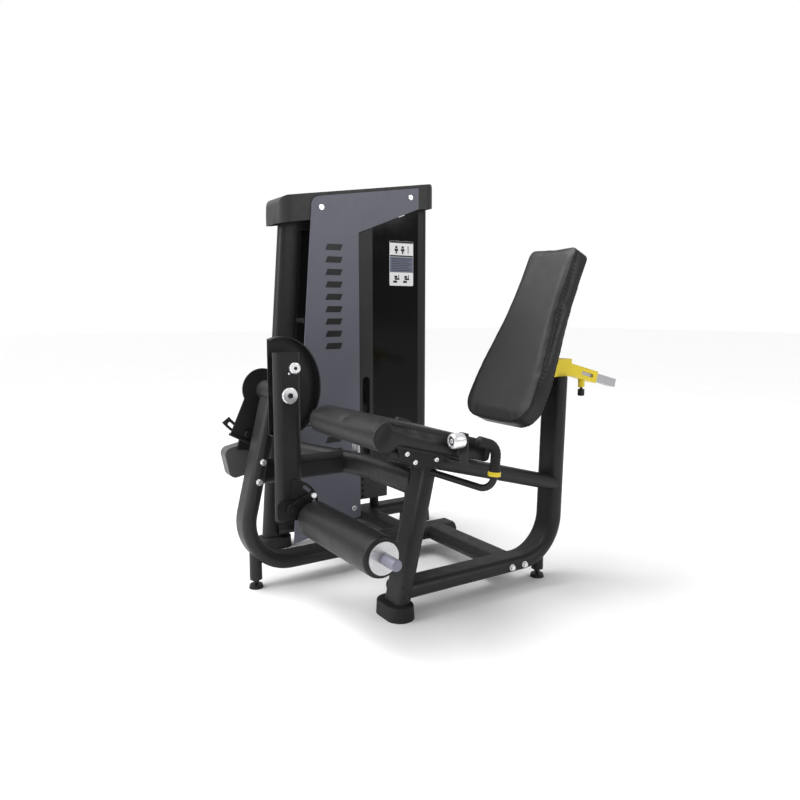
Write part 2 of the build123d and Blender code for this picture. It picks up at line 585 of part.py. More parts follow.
def build_far_side(spacer):
    """Counterweight, range plate and index plate on the shaft's far end."""
    fan_x = -525.0
    reach = 188.0
    hub = Pos(PIVOT_Y, PIVOT_Z) * Circle(72)
    blade = outline((PIVOT_Y - 66, PIVOT_Z - 30), (PIVOT_Y - 118, PIVOT_Z - 147), (PIVOT_Y - 50, PIVOT_Z - 184),
                    (PIVOT_Y + 20, PIVOT_Z - 60))
    fan = hub + blade
    plate = slab_x(fan_x, fan_x + 6, fan) - along_x(fan_x - 1, fan_x + 7, PIVOT_Y, PIVOT_Z, SHAFT_R + RUN_FIT)
    lip_line = Vector(0, 68, -37).normalized()
    lip_start = Vector(fan_x + 3, PIVOT_Y - 122, PIVOT_Z - 146)
    lip_plane = Plane(origin=lip_start, x_dir=(1, 0, 0), z_dir=lip_line)
    lip = extrude(lip_plane * SlotOverall(26, 9), amount=80)
    plate = plate + (lip - block(fan_x - 30, fan_x, PIVOT_Y - 200, PIVOT_Y + 50, PIVOT_Z - 220, PIVOT_Z))
    pin_y, pin_z = PIVOT_Y - 62, PIVOT_Z - 151
    pin_bore = along_x(fan_x - 20, fan_x + 8, pin_y, pin_z, 5)
    NODES["range_plate"] = plate - pin_bore
    index_far = fan_x - 8
    arc = Pos(PIVOT_Y, PIVOT_Z) * (Circle(reach - 10) - Circle(reach - 40))
    sweep_zone = outline((PIVOT_Y - 200, PIVOT_Z - 150), (PIVOT_Y, PIVOT_Z), (PIVOT_Y + 150, PIVOT_Z - 240),
                         (PIVOT_Y - 240, PIVOT_Z - 240))
    spoke = outline((PIVOT_Y - 22, PIVOT_Z), (PIVOT_Y + 22, PIVOT_Z), (PIVOT_Y + 22, PIVOT_Z - 160),
                    (PIVOT_Y - 22, PIVOT_Z - 160))
    index_sketch = (arc & sweep_zone) + spoke + Pos(PIVOT_Y, PIVOT_Z) * Circle(30)
    index = slab_x(index_far, index_far + 6, index_sketch) - NODES["pivot_shaft"]
    pin_r = math.hypot(pin_y - PIVOT_Y, pin_z - PIVOT_Z)
    pin_angle = math.degrees(math.atan2(pin_z - PIVOT_Z, pin_y - PIVOT_Y))
    index = index - slab_x(index_far - 1, index_far + 7,
                           curved_slot(PIVOT_Y, PIVOT_Z, pin_r, pin_angle - RANGE_BACK, pin_angle + RANGE_AHEAD, 6))
    pin = along_x(index_far + 1, fan_x + 6, pin_y, pin_z, 5 - RUN_FIT)
    barrel = along_x(fan_x + 6, fan_x + 20, pin_y, pin_z, 11)
    NODES["range_pin"] = pin + fillet(barrel.edges().sort_by(Axis.X)[-1:], 3)
    weight_x = index_far - 4
    arm = outline((PIVOT_Y - 25, PIVOT_Z + 30), (PIVOT_Y + 25, PIVOT_Z + 30), (PIVOT_Y - 40, PIVOT_Z - 215),
                  (PIVOT_Y - 90, PIVOT_Z - 205))
    hub_ring = along_x(index_far - 4, index_far, PIVOT_Y, PIVOT_Z, 24)
    carrier = slab_x(weight_x - 10, weight_x, arm)
    NODES["index_plate"] = index + (hub_ring + carrier - NODES["pivot_shaft"])
    block_face = Pos(PIVOT_Y - 62, PIVOT_Z - 245) * Rot(0, 0, 12) * RectangleRounded(124, 108, 24)
    NODES["counterweight"] = slab_x(weight_x - 60, weight_x - 10, block_face)
    collar = along_x(fan_x + 7, LEVER_X - HOUSING_LONG / 2 - SIDE_GAP, PIVOT_Y, PIVOT_Z, 22, SHAFT_R)
    NODES["shaft_collars"] = Compound(children=[collar, spacer])


def build_roller():
    near = ARM_X + ARM_SHORT / 2
    hinge_y, hinge_z = PIVOT_Y, ROLLER_HINGE_Z
    boss = Pos(hinge_y - 14, hinge_z - 4) * RectangleRounded(74, 62, 14)
    boss_plate = slab_x(near, near + 5, boss)
    pin = along_x(near + 5, near + 23, hinge_y, hinge_z, 9)
    boss_solid = boss_plate + pin
    quadrant = Pos(hinge_y, hinge_z) * Circle(QUADRANT_R)
    zone = outline((hinge_y + 2, hinge_z + 130), (hinge_y, hinge_z + 40), (hinge_y + 40, hinge_z - 10),
                   (hinge_y + 130, hinge_z - 10), (hinge_y + 130, hinge_z + 130))
    face = quadrant & zone
    face -= curved_slot(hinge_y, hinge_z, ROLLER_PIN_R, ROLLER_PIN_ANGLE - 22, ROLLER_PIN_ANGLE + 27, 6)
    NODES["roller_boss"] = boss_solid + slab_x(near, near + 5, face)
    hole_y = hinge_y + ROLLER_PIN_R * math.cos(math.radians(ROLLER_PIN_ANGLE))
    hole_z = hinge_z + ROLLER_PIN_R * math.sin(math.radians(ROLLER_PIN_ANGLE))
    arm_near = near + 6
    arm_face = make_hull((Pos(hinge_y, hinge_z) * Circle(20)).edges()
                         + (Pos(ROLLER_Y, ROLLER_Z) * Circle(24)).edges())
    tail = make_hull((Pos(hinge_y, hinge_z) * Circle(18)).edges()
                     + (Pos(hole_y, hole_z) * Circle(13)).edges())
    arm = slab_x(arm_near, arm_near + 12, arm_face + tail)
    arm = arm - along_x(arm_near - 1, arm_near + 13, hinge_y, hinge_z, 9 + RUN_FIT)
    arm = arm - along_x(arm_near - 1, arm_near + 13, hole_y, hole_z, 5)
    NODES["roller_arm"] = arm - along_x(arm_near - 1, arm_near + 13, ROLLER_Y, ROLLER_Z, AXLE_R)
    pull = along_x(near + 1, arm_near + 12, hole_y, hole_z, 5 - RUN_FIT)
    head = along_x(arm_near + 12, arm_near + 20, hole_y, hole_z, 9)
    NODES["roller_pin"] = pull + head
    axle = along_x(arm_near, AXLE_END_X - 46, ROLLER_Y, ROLLER_Z, AXLE_R)
    pad = along_x(ROLLER_FAR_X + 8, ROLLER_NEAR_X, ROLLER_Y, ROLLER_Z, ROLLER_R, ROLLER_BORE_R + SOFT_GAP)
    NODES["roller_pad"] = fillet(pad.edges().filter_by(GeomType.CIRCLE).group_by(SortBy.LENGTH)[-1], 9)
    core = along_x(ROLLER_FAR_X + 8, ROLLER_NEAR_X + SOFT_GAP, ROLLER_Y, ROLLER_Z, ROLLER_BORE_R, AXLE_R + RUN_FIT)
    disc = along_x(ROLLER_NEAR_X + SOFT_GAP, ROLLER_NEAR_X + 4, ROLLER_Y, ROLLER_Z, END_DISC_R, AXLE_R + RUN_FIT)
    NODES["roller_core"] = core + disc
    end = along_x(ROLLER_NEAR_X + 14, AXLE_END_X, ROLLER_Y, ROLLER_Z, AXLE_END_R)
    end = fillet(end.edges().sort_by(Axis.X)[-1:], 4)
    NODES["roller_axle"] = axle + end


def build_tower(bars, cable_z, bolts):
    near = TOWER_X + COVER_HALF_T
    slope = math.tan(math.radians(COVER_SLOPE))
    top_left = 1369.0
    left_y = column_y(top_left) + 45
    face = outline((-20, 26), (left_y, top_left), (565, top_left + (565 - left_y) * slope),
                   (566, 1358), (SPLIT_Y - 1, 1245), (SPLIT_Y, PLATE_FOOT_Z))
    face = fillet([corner_near(face, left_y, top_left)], 38)
    face -= Pos(RISER_Y, cable_z) * Circle(12)
    x0 = near + PLATE_GAP
    NODES["face_plate"] = slab_x(x0, x0 + PLATE_T, face) - bars["curved"][0] - bars["link"][0]
    strip = outline((SPLIT_Y + 1, PANEL_FOOT_Z), (STRIP_Y, PANEL_FOOT_Z), (STRIP_Y, 1268), (SPLIT_Y + 1, 1243))
    x1 = x0 + PLATE_T - PANEL_T
    strip -= Pos((SPLIT_Y + STRIP_Y) / 2, PIN_SLOT_Z) * SlotOverall(PIN_SLOT_TALL, PIN_SLOT_WIDE, rotation=90)
    strip_solid = slab_x(x1 - 6, x1, strip)
    glossy = outline((STRIP_Y + 1, PANEL_FOOT_Z), (PANEL_REAR_Y, PANEL_FOOT_Z), (PANEL_REAR_Y, 1356),
                     (STRIP_Y + 1, 1269))
    NODES["gloss_panel"] = slab_x(x1 - 14, x1 - 11, glossy)
    placard = Pos(489, 1133) * RectangleRounded(116, 183, 4)
    NODES["placard"] = slab_x(x1 - 11, x1 - 9.5, placard)
    far = TOWER_X - COVER_HALF_T
    back = outline((-10, PANEL_FOOT_Z - 60), (column_y(1300) + 40, 1290), (PANEL_REAR_Y, 1372),
                   (PANEL_REAR_Y, PANEL_FOOT_Z - 60))
    NODES["side_panels"] = Compound(children=[strip_solid, slab_x(far + 6, far + 9, back)])
    outer = outline((-58, 1262), (-44, COVER_TOP_Z), (650, COVER_TOP_Z + 694 * slope), (666, 1372))
    outer = fillet([corner_near(outer, -44, COVER_TOP_Z)], 40)
    outer = fillet([corner_near(outer, 650, COVER_TOP_Z + 694 * slope)], 22)
    inner = offset(outer, -COVER_WALL) + outline((-54, 1262.4), (-50, 1300), (640, 1400), (661.5, 1371.6),
                                                 (661.5, 1200), (-54, 1200))
    shell = (slab_x(far, near, outer) & cover_plan(0)) - (slab_x(far + 1, near - 1, inner) & cover_plan(COVER_WALL))
    NODES["top_cover"] = shell.solids().sort_by(SortBy.VOLUME)[-1]
    for y, z in ((116, 1331), (524, 1401), (60, 300), (250, 130)):
        bolts.append(button_bolt(x0 + PLATE_T, y, z, (1, 0, 0), head_r=11, head_t=6))
    standoffs = []
    for z in (300, 900):
        y = column_y(z) + 30
        standoffs.append(along_x(TOWER_X + HALF, x0, y + 10, z, 10))
    return standoffs


def cover_plan(inset):
    """Upright prism with the cover's rounded outline seen from above."""
    plan = RectangleRounded(2 * (COVER_HALF_T - inset), 724 - 2 * inset, COVER_CORNER_R - inset)
    return extrude(Plane.XY.offset(1200) * Pos(TOWER_X, 304) * plan, amount=400)


def corner_near(sketch, y, z):
    """Vertex of a sketch that lies nearest a point."""
    return min(sketch.vertices(), key=lambda v: math.hypot(v.X - y, v.Y - z))


def build_stack(bars, standoffs):
    rods, bumpers = [], []
    for side in (-1, 1):
        y = STACK_Y + side * ROD_PITCH / 2
        rods.append(between((TOWER_X, y, BASE_Z + HALF), (TOWER_X, y, RAIL_Z - RAIL_DROP + 2), ROD_R))
        bumpers.append(between((TOWER_X, y, BASE_Z + HALF), (TOWER_X, y, STACK_FOOT_Z), BUMPER_R, ROD_R))
    NODES["guide_rods"] = Compound(children=rods)
    NODES["rod_bumpers"] = Compound(children=bumpers)
    resting, lifted = [], []
    for index in range(RESTING_PLATES + LIFTED_PLATES):
        z = STACK_FOOT_Z + index * PLATE_STEP
        plate = stack_plate(z, PLATE_TALL, STEM_BORE_R)
        if index < RESTING_PLATES:
            resting.append(plate)
        else:
            lifted.append(plate)
    head_z = STACK_FOOT_Z + (RESTING_PLATES + LIFTED_PLATES) * PLATE_STEP
    NODES["resting_plates"] = Compound(children=resting)
    pin_z = STACK_FOOT_Z + RESTING_PLATES * PLATE_STEP + PLATE_TALL / 2
    stem_foot = STACK_FOOT_Z + 4
    stem_top = head_z + HEAD_TALL + FITTING_TALL
    stem = between((TOWER_X, STACK_Y, stem_foot), (TOWER_X, STACK_Y, head_z), STEM_R)
    stem = stem + between((TOWER_X, STACK_Y, head_z), (TOWER_X, STACK_Y, stem_top), FITTING_R)
    for index in range(RESTING_PLATES + LIFTED_PLATES):
        z = STACK_FOOT_Z + index * PLATE_STEP + PLATE_TALL / 2
        stem = stem - along_x(TOWER_X - 20, TOWER_X + 20, STACK_Y, z, PIN_BORE_R)
    NODES["selector_stem"] = stem
    lifted.append(stack_plate(head_z, HEAD_TALL, FITTING_R))
    NODES["lifted_plates"] = Compound(children=lifted)
    pin = along_x(TOWER_X - STEM_R + 1, TOWER_X + PLATE_WIDE / 2 + 1, STACK_Y, pin_z, PIN_BORE_R - RUN_FIT)
    knob = along_x(TOWER_X + PLATE_WIDE / 2 + 1, TOWER_X + PLATE_WIDE / 2 + 16, STACK_Y, pin_z, 11)
    NODES["selector_pin"] = pin + fillet(knob.edges().sort_by(Axis.X)[-1:], 3)
    rails = []
    for side in (-1, 1):
        x0 = TOWER_X + side * 20 - (6 if side < 0 else 0)
        rail = block(x0, x0 + 6, column_y(RAIL_Z), REAR_COLUMN_Y, RAIL_Z - RAIL_DROP, RAIL_Z + 30)
        rails.append(rail - bars["front_column"][0] - bars["rear_column"][0])
    clamps = []
    for side in (-1, 1):
        y = STACK_Y + side * ROD_PITCH / 2
        clamps.append(block(TOWER_X - 20, TOWER_X + 20, y - 15, y + 15, RAIL_Z - RAIL_DROP + 2, RAIL_Z - RAIL_DROP + 8))
    NODES["tower_brackets"] = Compound(children=rails + clamps + standoffs)
    return stem_top


def stack_plate(z, tall, stem_bore):
    plate = block(TOWER_X - PLATE_WIDE / 2, TOWER_X + PLATE_WIDE / 2,
                  STACK_Y - PLATE_LONG / 2, STACK_Y + PLATE_LONG / 2, z, z + tall)
    plate = chamfer(plate.edges().filter_by(Axis.Z), 8)
    plate = plate - between((TOWER_X, STACK_Y, z - 1), (TOWER_X, STACK_Y, z + tall + 1), stem_bore)
    for side in (-1, 1):
        y = STACK_Y + side * ROD_PITCH / 2
        plate = plate - between((TOWER_X, y, z - 1), (TOWER_X, y, z + tall + 1), ROD_BORE_R)
    if stem_bore > FITTING_R:
        plate = plate - along_x(TOWER_X, TOWER_X + PLATE_WIDE, STACK_Y, z + tall / 2, PIN_BORE_R)
    return plate


def pulley(centre, axis):
    """Grooved wheel on its pitch circle."""
    plane = Plane(origin=centre, z_dir=axis)
    wheel = extrude(plane * (Circle(PULLEY_RIM_R) - Circle(PULLEY_BORE_R + RUN_FIT)), amount=PULLEY_T / 2, both=True)
    groove = extrude(plane * (Circle(PULLEY_RIM_R + 5) - Circle(PULLEY_PITCH_R - CABLE_R - 0.1)),
                     amount=CABLE_R + 0.1, both=True)
    return wheel - groove


def build_drive(bars, cable_x, cable_z, fitting_top):
    p = PULLEY_PITCH_R
    start = (cable_x, PIVOT_Y, cable_z)
    first = (cable_x, RISER_Y, cable_z)
    second = (TOWER_X, RISER_Y, cable_z)
    third = (TOWER_X, RISER_Y, RAIL_Z + p)
    fourth = (TOWER_X, STACK_Y, RAIL_Z + p)
    path = FilletPolyline(start, first, second, third, fourth, (TOWER_X, STACK_Y, RAIL_Z - 1), radius=p)
    cable = sweep(Plane(origin=start, z_dir=(0, 1, 0)) * Circle(CABLE_R), path=path)
    NODES["main_cable"] = cable
    NODES["stack_cable"] = between((TOWER_X, STACK_Y, fitting_top), (TOWER_X, STACK_Y, RAIL_Z - 1), CABLE_R)
    centres = {
        "cross_pulley": ((cable_x - p, RISER_Y - p, cable_z), (0, 0, 1)),
        "entry_pulley": ((TOWER_X + p, RISER_Y, cable_z + p), (0, 1, 0)),
        "top_front_pulley": ((TOWER_X, RISER_Y + p, RAIL_Z), (1, 0, 0)),
        "top_rear_pulley": ((TOWER_X, STACK_Y - p, RAIL_Z), (1, 0, 0)),
    }
    for name, (centre, axis) in centres.items():
        NODES[name] = pulley(centre, axis)
    axles = []
    for name in ("top_front_pulley", "top_rear_pulley"):
        c = centres[name][0]
        axles.append(along_x(TOWER_X - 20, TOWER_X + 20, c[1], c[2], PULLEY_BORE_R))
    c = centres["cross_pulley"][0]
    top = CROSS_Z + CROSS_TALL / 2
    mast = between((c[0], c[1], top - 12), (c[0], c[1], cable_z - PULLEY_T / 2 - SIDE_GAP), 14)
    mast = (mast - bars["curved"][0]).solids().sort_by(Axis.Z)[-1]
    axle = between((c[0], c[1], cable_z - PULLEY_T / 2 - SIDE_GAP), (c[0], c[1], cable_z + PULLEY_T / 2 + 6),
                   PULLEY_BORE_R)
    head = between((c[0], c[1], cable_z + PULLEY_T / 2 + SIDE_GAP), (c[0], c[1], cable_z + PULLEY_T / 2 + 7), 11)
    axles.append(mast + axle + head)
    c = centres["entry_pulley"][0]
    arm = between((c[0], column_y(c[2]), c[2]), (c[0], c[1] - PULLEY_T / 2 - SIDE_GAP, c[2]), 13)
    arm = arm - bars["front_column"][0]
    arm = arm.solids().sort_by(Axis.Y)[-1]
    pin = between((c[0], c[1] - PULLEY_T / 2 - SIDE_GAP, c[2]), (c[0], c[1] + PULLEY_T / 2 + 6, c[2]), PULLEY_BORE_R)
    head = between((c[0], c[1] + PULLEY_T / 2 + SIDE_GAP, c[2]), (c[0], c[1] + PULLEY_T / 2 + 7, c[2]), 11)
    axles.append(arm + pin + head)
    NODES["pulley_axles"] = Compound(children=axles)


def build_fasteners(bars, bolts):
    """Hexagon bolts of the bolted tube joints, with the round-headed ones already placed."""
    lean = math.radians(POST_LEAN)
    normal = (0, math.cos(lean), -math.sin(lean))
    for z in (CROSS_Z - 35, CROSS_Z + 20):
        bolts.append(hex_bolt(0, post_y(z) + HALF / math.cos(lean), z, normal))
    for z in (CROSS_Z - 22, CROSS_Z + 43):
        side_bolt = hex_bolt(LEVER_X + TUBE_LONG / 2 - 3, upright_y(z), z, (1, 0, 0), washer_t=5)
        bolts.append(side_bolt - bars["lever"][0])
    for y in (BEAM_JOINT_Y - 28, BEAM_JOINT_Y + 28):
        bolts.append(hex_bolt(TUBE_LONG / 2, y, BASE_Z, (1, 0, 0)))
    NODES["frame_bolts"] = Compound(children=bolts)


bars = build_base()
build_plugs()
build_feet(bars)
round_bolts = build_seat(bars)
build_handles(bars)
build_backrest(bars)
build_pivot()
cable_x, cam_spacer = build_lever()
cable_z = PIVOT_Z - DRUM_PITCH_R
build_far_side(cam_spacer)
build_roller()
panel_standoffs = build_tower(bars, cable_z, round_bolts)
fitting_top = build_stack(bars, panel_standoffs)
build_drive(bars, cable_x, cable_z, fitting_top)
build_fasteners(bars, round_bolts)

os.makedirs("parts", exist_ok=True)
for name, shape in NODES.items():
    export_step(shape, "parts/" + name + ".step")
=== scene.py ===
import logging
import math
from dataclasses import dataclass, field
from enum import Enum
from typing import Callable, Iterable, Sequence

import bmesh
import bpy
from mathutils import Matrix, Vector
from mathutils.bvhtree import BVHTree
from mathutils.kdtree import KDTree


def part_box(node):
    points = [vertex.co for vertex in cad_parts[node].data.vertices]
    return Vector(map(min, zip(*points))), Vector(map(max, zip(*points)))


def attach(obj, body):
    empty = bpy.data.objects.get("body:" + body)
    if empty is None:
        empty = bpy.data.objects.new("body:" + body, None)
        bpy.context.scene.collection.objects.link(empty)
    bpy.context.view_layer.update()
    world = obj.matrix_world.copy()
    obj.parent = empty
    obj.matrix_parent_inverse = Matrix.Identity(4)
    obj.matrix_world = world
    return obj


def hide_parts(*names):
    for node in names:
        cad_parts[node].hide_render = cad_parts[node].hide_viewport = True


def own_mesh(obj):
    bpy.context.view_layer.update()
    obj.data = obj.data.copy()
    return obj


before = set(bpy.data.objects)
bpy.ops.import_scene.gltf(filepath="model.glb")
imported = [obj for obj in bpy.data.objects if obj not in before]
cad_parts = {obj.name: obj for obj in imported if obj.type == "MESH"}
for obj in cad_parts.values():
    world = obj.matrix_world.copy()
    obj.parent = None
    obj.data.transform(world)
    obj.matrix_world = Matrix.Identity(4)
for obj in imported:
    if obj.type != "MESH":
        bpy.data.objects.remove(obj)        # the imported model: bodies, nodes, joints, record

log = logging.getLogger("leg_extension")
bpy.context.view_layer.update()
Colour = tuple[float, float, float]
Point = tuple[float, float, float]


# ---------------------------------------------------------------- finishes
class Grain(Enum):
    """Kinds of surface relief."""

    PEEL = "sprayed powder, like orange peel"
    HIDE = "embossed vinyl"
    MOULD = "fine spark-eroded plastic"
    BRUSH = "drawn or ground metal"
    CAST = "sand casting"
    SMOOTH = "polished"


class Graph:
    """A material's node tree, with short calls to add and join nodes."""

    def __init__(self, name: str) -> None:
        """Starts a material.

        Args:
            name: The material's name.
        """
        self.material = bpy.data.materials.new(name)
        self.material.use_nodes = True
        self.nodes = self.material.node_tree.nodes
        self.links = self.material.node_tree.links
        self.shader = self.nodes["Principled BSDF"]
        self.coords = self.nodes.new("ShaderNodeTexCoord")

    def node(self, kind: str, feeds: dict[str, object], **settings: object) -> bpy.types.Node:
        """Adds a node.

        Args:
            kind: Blender's node type.
            feeds: Input name or number to a value or an output socket.
            settings: Properties of the node.

        Returns:
            The new node.
        """
        made = self.nodes.new(kind)
        for key, value in settings.items():
            setattr(made, key, value)
        for key, value in feeds.items():
            if isinstance(value, bpy.types.NodeSocket):
                self.links.new(value, made.inputs[key])
            else:
                made.inputs[key].default_value = value
        return made

    def place(self, stretch: Point = (1, 1, 1)) -> bpy.types.NodeSocket:
        """Object coordinates in metres, stretched by an amount along each axis.

        Args:
            stretch: Factor along each axis.

        Returns:
            The coordinates.
        """
        mapping = self.node("ShaderNodeMapping", {"Vector": self.coords.outputs["Object"]})
        mapping.inputs["Scale"].default_value = stretch
        return mapping.outputs["Vector"]

    def noise(self, scale: float, detail: float = 3.0, stretch: Point = (1, 1, 1)) -> bpy.types.NodeSocket:
        """Noise whose patches are about one over scale metres across.

        Args:
            scale: One over the size of a patch, in metres.
            detail: Octaves of finer noise.
            stretch: Factor along each axis.

        Returns:
            The noise, 0 to 1.
        """
        made = self.node("ShaderNodeTexNoise",
                         {"Vector": self.place(stretch), "Scale": scale, "Detail": detail})
        return made.outputs["Fac"]

    def between(self, source: bpy.types.NodeSocket, low: float, high: float,
                start: float = 0.3, stop: float = 0.7) -> bpy.types.NodeSocket:
        """Maps a source from start..stop to low..high.

        Args:
            source: The value to map.
            low: Result at start.
            high: Result at stop.
            start: Value that gives low.
            stop: Value that gives high.

        Returns:
            The mapped value, held between low and high.
        """
        made = self.node("ShaderNodeMapRange", {"Value": source, "From Min": start, "From Max": stop,
                                                "To Min": low, "To Max": high})
        return made.outputs["Result"]

    def mix(self, factor: object, first: object, second: object) -> bpy.types.NodeSocket:
        """Blends two colours.

        Args:
            factor: Share of the second colour.
            first: Colour or socket.
            second: Colour or socket.

        Returns:
            The blend.
        """
        made = self.nodes.new("ShaderNodeMix")
        made.data_type = "RGBA"
        for number, value in ((0, factor), (6, first), (7, second)):
            if isinstance(value, bpy.types.NodeSocket):
                self.links.new(value, made.inputs[number])
            else:
                made.inputs[number].default_value = value
        return made.outputs[2]

    def edges(self, radius: float) -> bpy.types.NodeSocket:
        """Mask that is 1 on the object's own sharp edges and 0 on its faces.

        Args:
            radius: Width of the worn edge in metres.

        Returns:
            The mask.
        """
        soft = self.node("ShaderNodeBevel", {"Radius": radius}, samples=4)
        face = self.nodes.new("ShaderNodeNewGeometry")
        dot = self.node("ShaderNodeVectorMath", {0: soft.outputs["Normal"], 1: face.outputs["Normal"]},
                        operation="DOT_PRODUCT")
        return self.between(dot.outputs["Value"], 1.0, 0.0, 0.86, 0.99)


@dataclass(frozen=True)
class Finish:
    """A surface finish and how it is made up.

    Args:
        name: Material name.
        colour: Base colour, linear.
        rough: Smoothest and roughest value over the surface.
        metal: Metallic share.
        grain: Kind of relief.
        size: Grain size in metres.
        height: Grain height in metres.
        drift: Share by which the colour drifts from patch to patch.
        patch: Size of the patches in metres.
        worn: Colour that shows along worn edges.
        wear: Amount of wear along edges.
        round_off: Radius to which edges are shaded round, in metres.
        sheen: Sheen weight.
        gleam: Specular level.
    """

    name: str
    colour: Colour
    rough: tuple[float, float]
    metal: float = 0.0
    grain: Grain = Grain.PEEL
    size: float = 0.0015
    height: float = 0.00004
    drift: float = 0.12
    patch: float = 0.25
    worn: Colour = (0.12, 0.12, 0.12)
    wear: float = 0.0
    round_off: float = 0.0
    sheen: float = 0.0
    gleam: float = 0.3

    def relief(self, graph: Graph) -> bpy.types.NodeSocket:
        """Height pattern of the grain.

        Args:
            graph: Node tree to add to.

        Returns:
            The height.
        """
        scale = 1.0 / self.size
        if self.grain is Grain.HIDE:
            cells = graph.node("ShaderNodeTexVoronoi", {"Vector": graph.place(), "Scale": scale},
                               feature="SMOOTH_F1")
            cells.inputs["Smoothness"].default_value = 0.6
            crease = graph.noise(scale / 9, 5)
            joined = graph.node("ShaderNodeMath", {0: cells.outputs["Distance"], 1: crease}, operation="ADD")
            return joined.outputs["Value"]
        if self.grain is Grain.BRUSH:
            return graph.noise(scale, 2, (0.04, 1, 1))
        if self.grain is Grain.CAST:
            return graph.noise(scale, 6)
        return graph.noise(scale, 2)

    def build(self) -> bpy.types.Material:
        """Makes the material.

        Returns:
            The finished material.
        """
        graph = Graph(self.name)
        shader = graph.shader
        dark = (*(c * (1 - self.drift) for c in self.colour), 1)
        light = (*(min(1.0, c * (1 + self.drift)) for c in self.colour), 1)
        base = graph.mix(graph.between(graph.noise(1 / self.patch, 4), 0, 1), dark, light)
        if self.wear:
            broken = graph.between(graph.noise(90, 4), 0, self.wear, 0.42, 0.62)
            mask = graph.node("ShaderNodeMath", {0: graph.edges(0.0016), 1: broken}, operation="MULTIPLY")
            base = graph.mix(mask.outputs["Value"], base, (*self.worn, 1))
        graph.links.new(base, shader.inputs["Base Color"])
        graph.links.new(graph.between(graph.noise(28, 5), *self.rough), shader.inputs["Roughness"])
        shader.inputs["Metallic"].default_value = self.metal
        shader.inputs["Specular IOR Level"].default_value = self.gleam
        shader.inputs["Sheen Weight"].default_value = self.sheen
        shader.inputs["Sheen Roughness"].default_value = 0.4
        normal = None
        if self.round_off:
            soft = graph.node("ShaderNodeBevel", {"Radius": self.round_off}, samples=4)
            normal = soft.outputs["Normal"]
        if self.grain is not Grain.SMOOTH:
            feeds = {"Height": self.relief(graph), "Distance": self.height, "Strength": 0.9}
            bump = graph.node("ShaderNodeBump", feeds)
            if normal is not None:
                graph.links.new(normal, bump.inputs["Normal"])
            normal = bump.outputs["Normal"]
        if normal is not None:
            graph.links.new(normal, shader.inputs["Normal"])
        return graph.material


FRAME_PAINT = Finish("frame_paint", (0.0125, 0.0125, 0.013), (0.38, 0.5), size=0.0012, height=0.00005,
                     worn=(0.05, 0.05, 0.052), wear=0.5, round_off=0.0012)
VINYL = Finish("vinyl", (0.0085, 0.0085, 0.009), (0.36, 0.48), grain=Grain.HIDE, size=0.0017, height=0.00009,
               patch=0.12, drift=0.16, sheen=0.02, gleam=0.28)
PANEL_PAINT = Finish("panel_paint", (0.118, 0.122, 0.152), (0.36, 0.46), size=0.0011, height=0.00003,
                     drift=0.05, worn=(0.26, 0.27, 0.31), wear=0.4, round_off=0.0008)
DARK_PANEL = Finish("dark_panel", (0.02, 0.02, 0.021), (0.4, 0.5), size=0.0011, round_off=0.0008)
GLOSS_BLACK = Finish("gloss_black", (0.003, 0.003, 0.0034), (0.08, 0.14), grain=Grain.SMOOTH, drift=0.3,
                     gleam=0.12)
COVER_PLASTIC = Finish("cover_plastic", (0.026, 0.026, 0.027), (0.4, 0.5), grain=Grain.MOULD, size=0.0008,
                       height=0.00005, round_off=0.0025)
BLACK_PLASTIC = Finish("black_plastic", (0.009, 0.009, 0.009), (0.35, 0.5), grain=Grain.MOULD, size=0.0007,
                       height=0.00004, round_off=0.0008)
SHOE_RUBBER = Finish("shoe_rubber", (0.012, 0.012, 0.012), (0.6, 0.75), grain=Grain.MOULD, size=0.0009,
                     height=0.00008, drift=0.25, worn=(0.06, 0.06, 0.058), wear=0.6, round_off=0.002)
GRIP_RUBBER = Finish("grip_rubber", (0.012, 0.012, 0.012), (0.55, 0.7), grain=Grain.MOULD, size=0.0006,
                     height=0.00006)
YELLOW_PAINT = Finish("yellow_paint", (0.72, 0.56, 0.03), (0.25, 0.38), size=0.0014, height=0.00003,
                      drift=0.06,
                      worn=(0.45, 0.36, 0.08), wear=0.5, round_off=0.0008)
PLATED_STEEL = Finish("plated_steel", (0.46, 0.46, 0.48), (0.3, 0.42), metal=0.85, grain=Grain.BRUSH,
                      size=0.0006,
                      height=0.00002, drift=0.08, round_off=0.0006)
BRIGHT_CHROME = Finish("bright_chrome", (0.86, 0.86, 0.88), (0.1, 0.2), metal=0.7, grain=Grain.BRUSH,
                       size=0.0009, height=0.000004, drift=0.04, round_off=0.001)
AXLE_PAINT = Finish("axle_paint", (0.2, 0.2, 0.25), (0.32, 0.42), metal=0.35, grain=Grain.BRUSH, size=0.0008,
                    height=0.00001, drift=0.06, round_off=0.0008)
DISC_PAINT = Finish("disc_paint", (0.52, 0.52, 0.53), (0.2, 0.32), metal=0.6, grain=Grain.BRUSH, size=0.0009,
                    height=0.00001, drift=0.04, round_off=0.0008)
STACK_IRON = Finish("stack_iron", (0.035, 0.035, 0.037), (0.45, 0.62), grain=Grain.CAST, size=0.003,
                    height=0.00012, worn=(0.16, 0.16, 0.16), wear=0.7, round_off=0.001)
WEIGHT_PAINT = Finish("weight_paint", (0.085, 0.085, 0.088), (0.42, 0.55), grain=Grain.CAST, size=0.0022,
                      height=0.0001, worn=(0.2, 0.2, 0.2), wear=0.5, round_off=0.0025)
CABLE_JACKET = Finish("cable_jacket", (0.012, 0.012, 0.012), (0.22, 0.34), grain=Grain.MOULD, size=0.002,
                      height=0.00003)
PULLEY_NYLON = Finish("pulley_nylon", (0.022, 0.022, 0.024), (0.35, 0.45), grain=Grain.BRUSH, size=0.001,
                      height=0.00003, round_off=0.001)
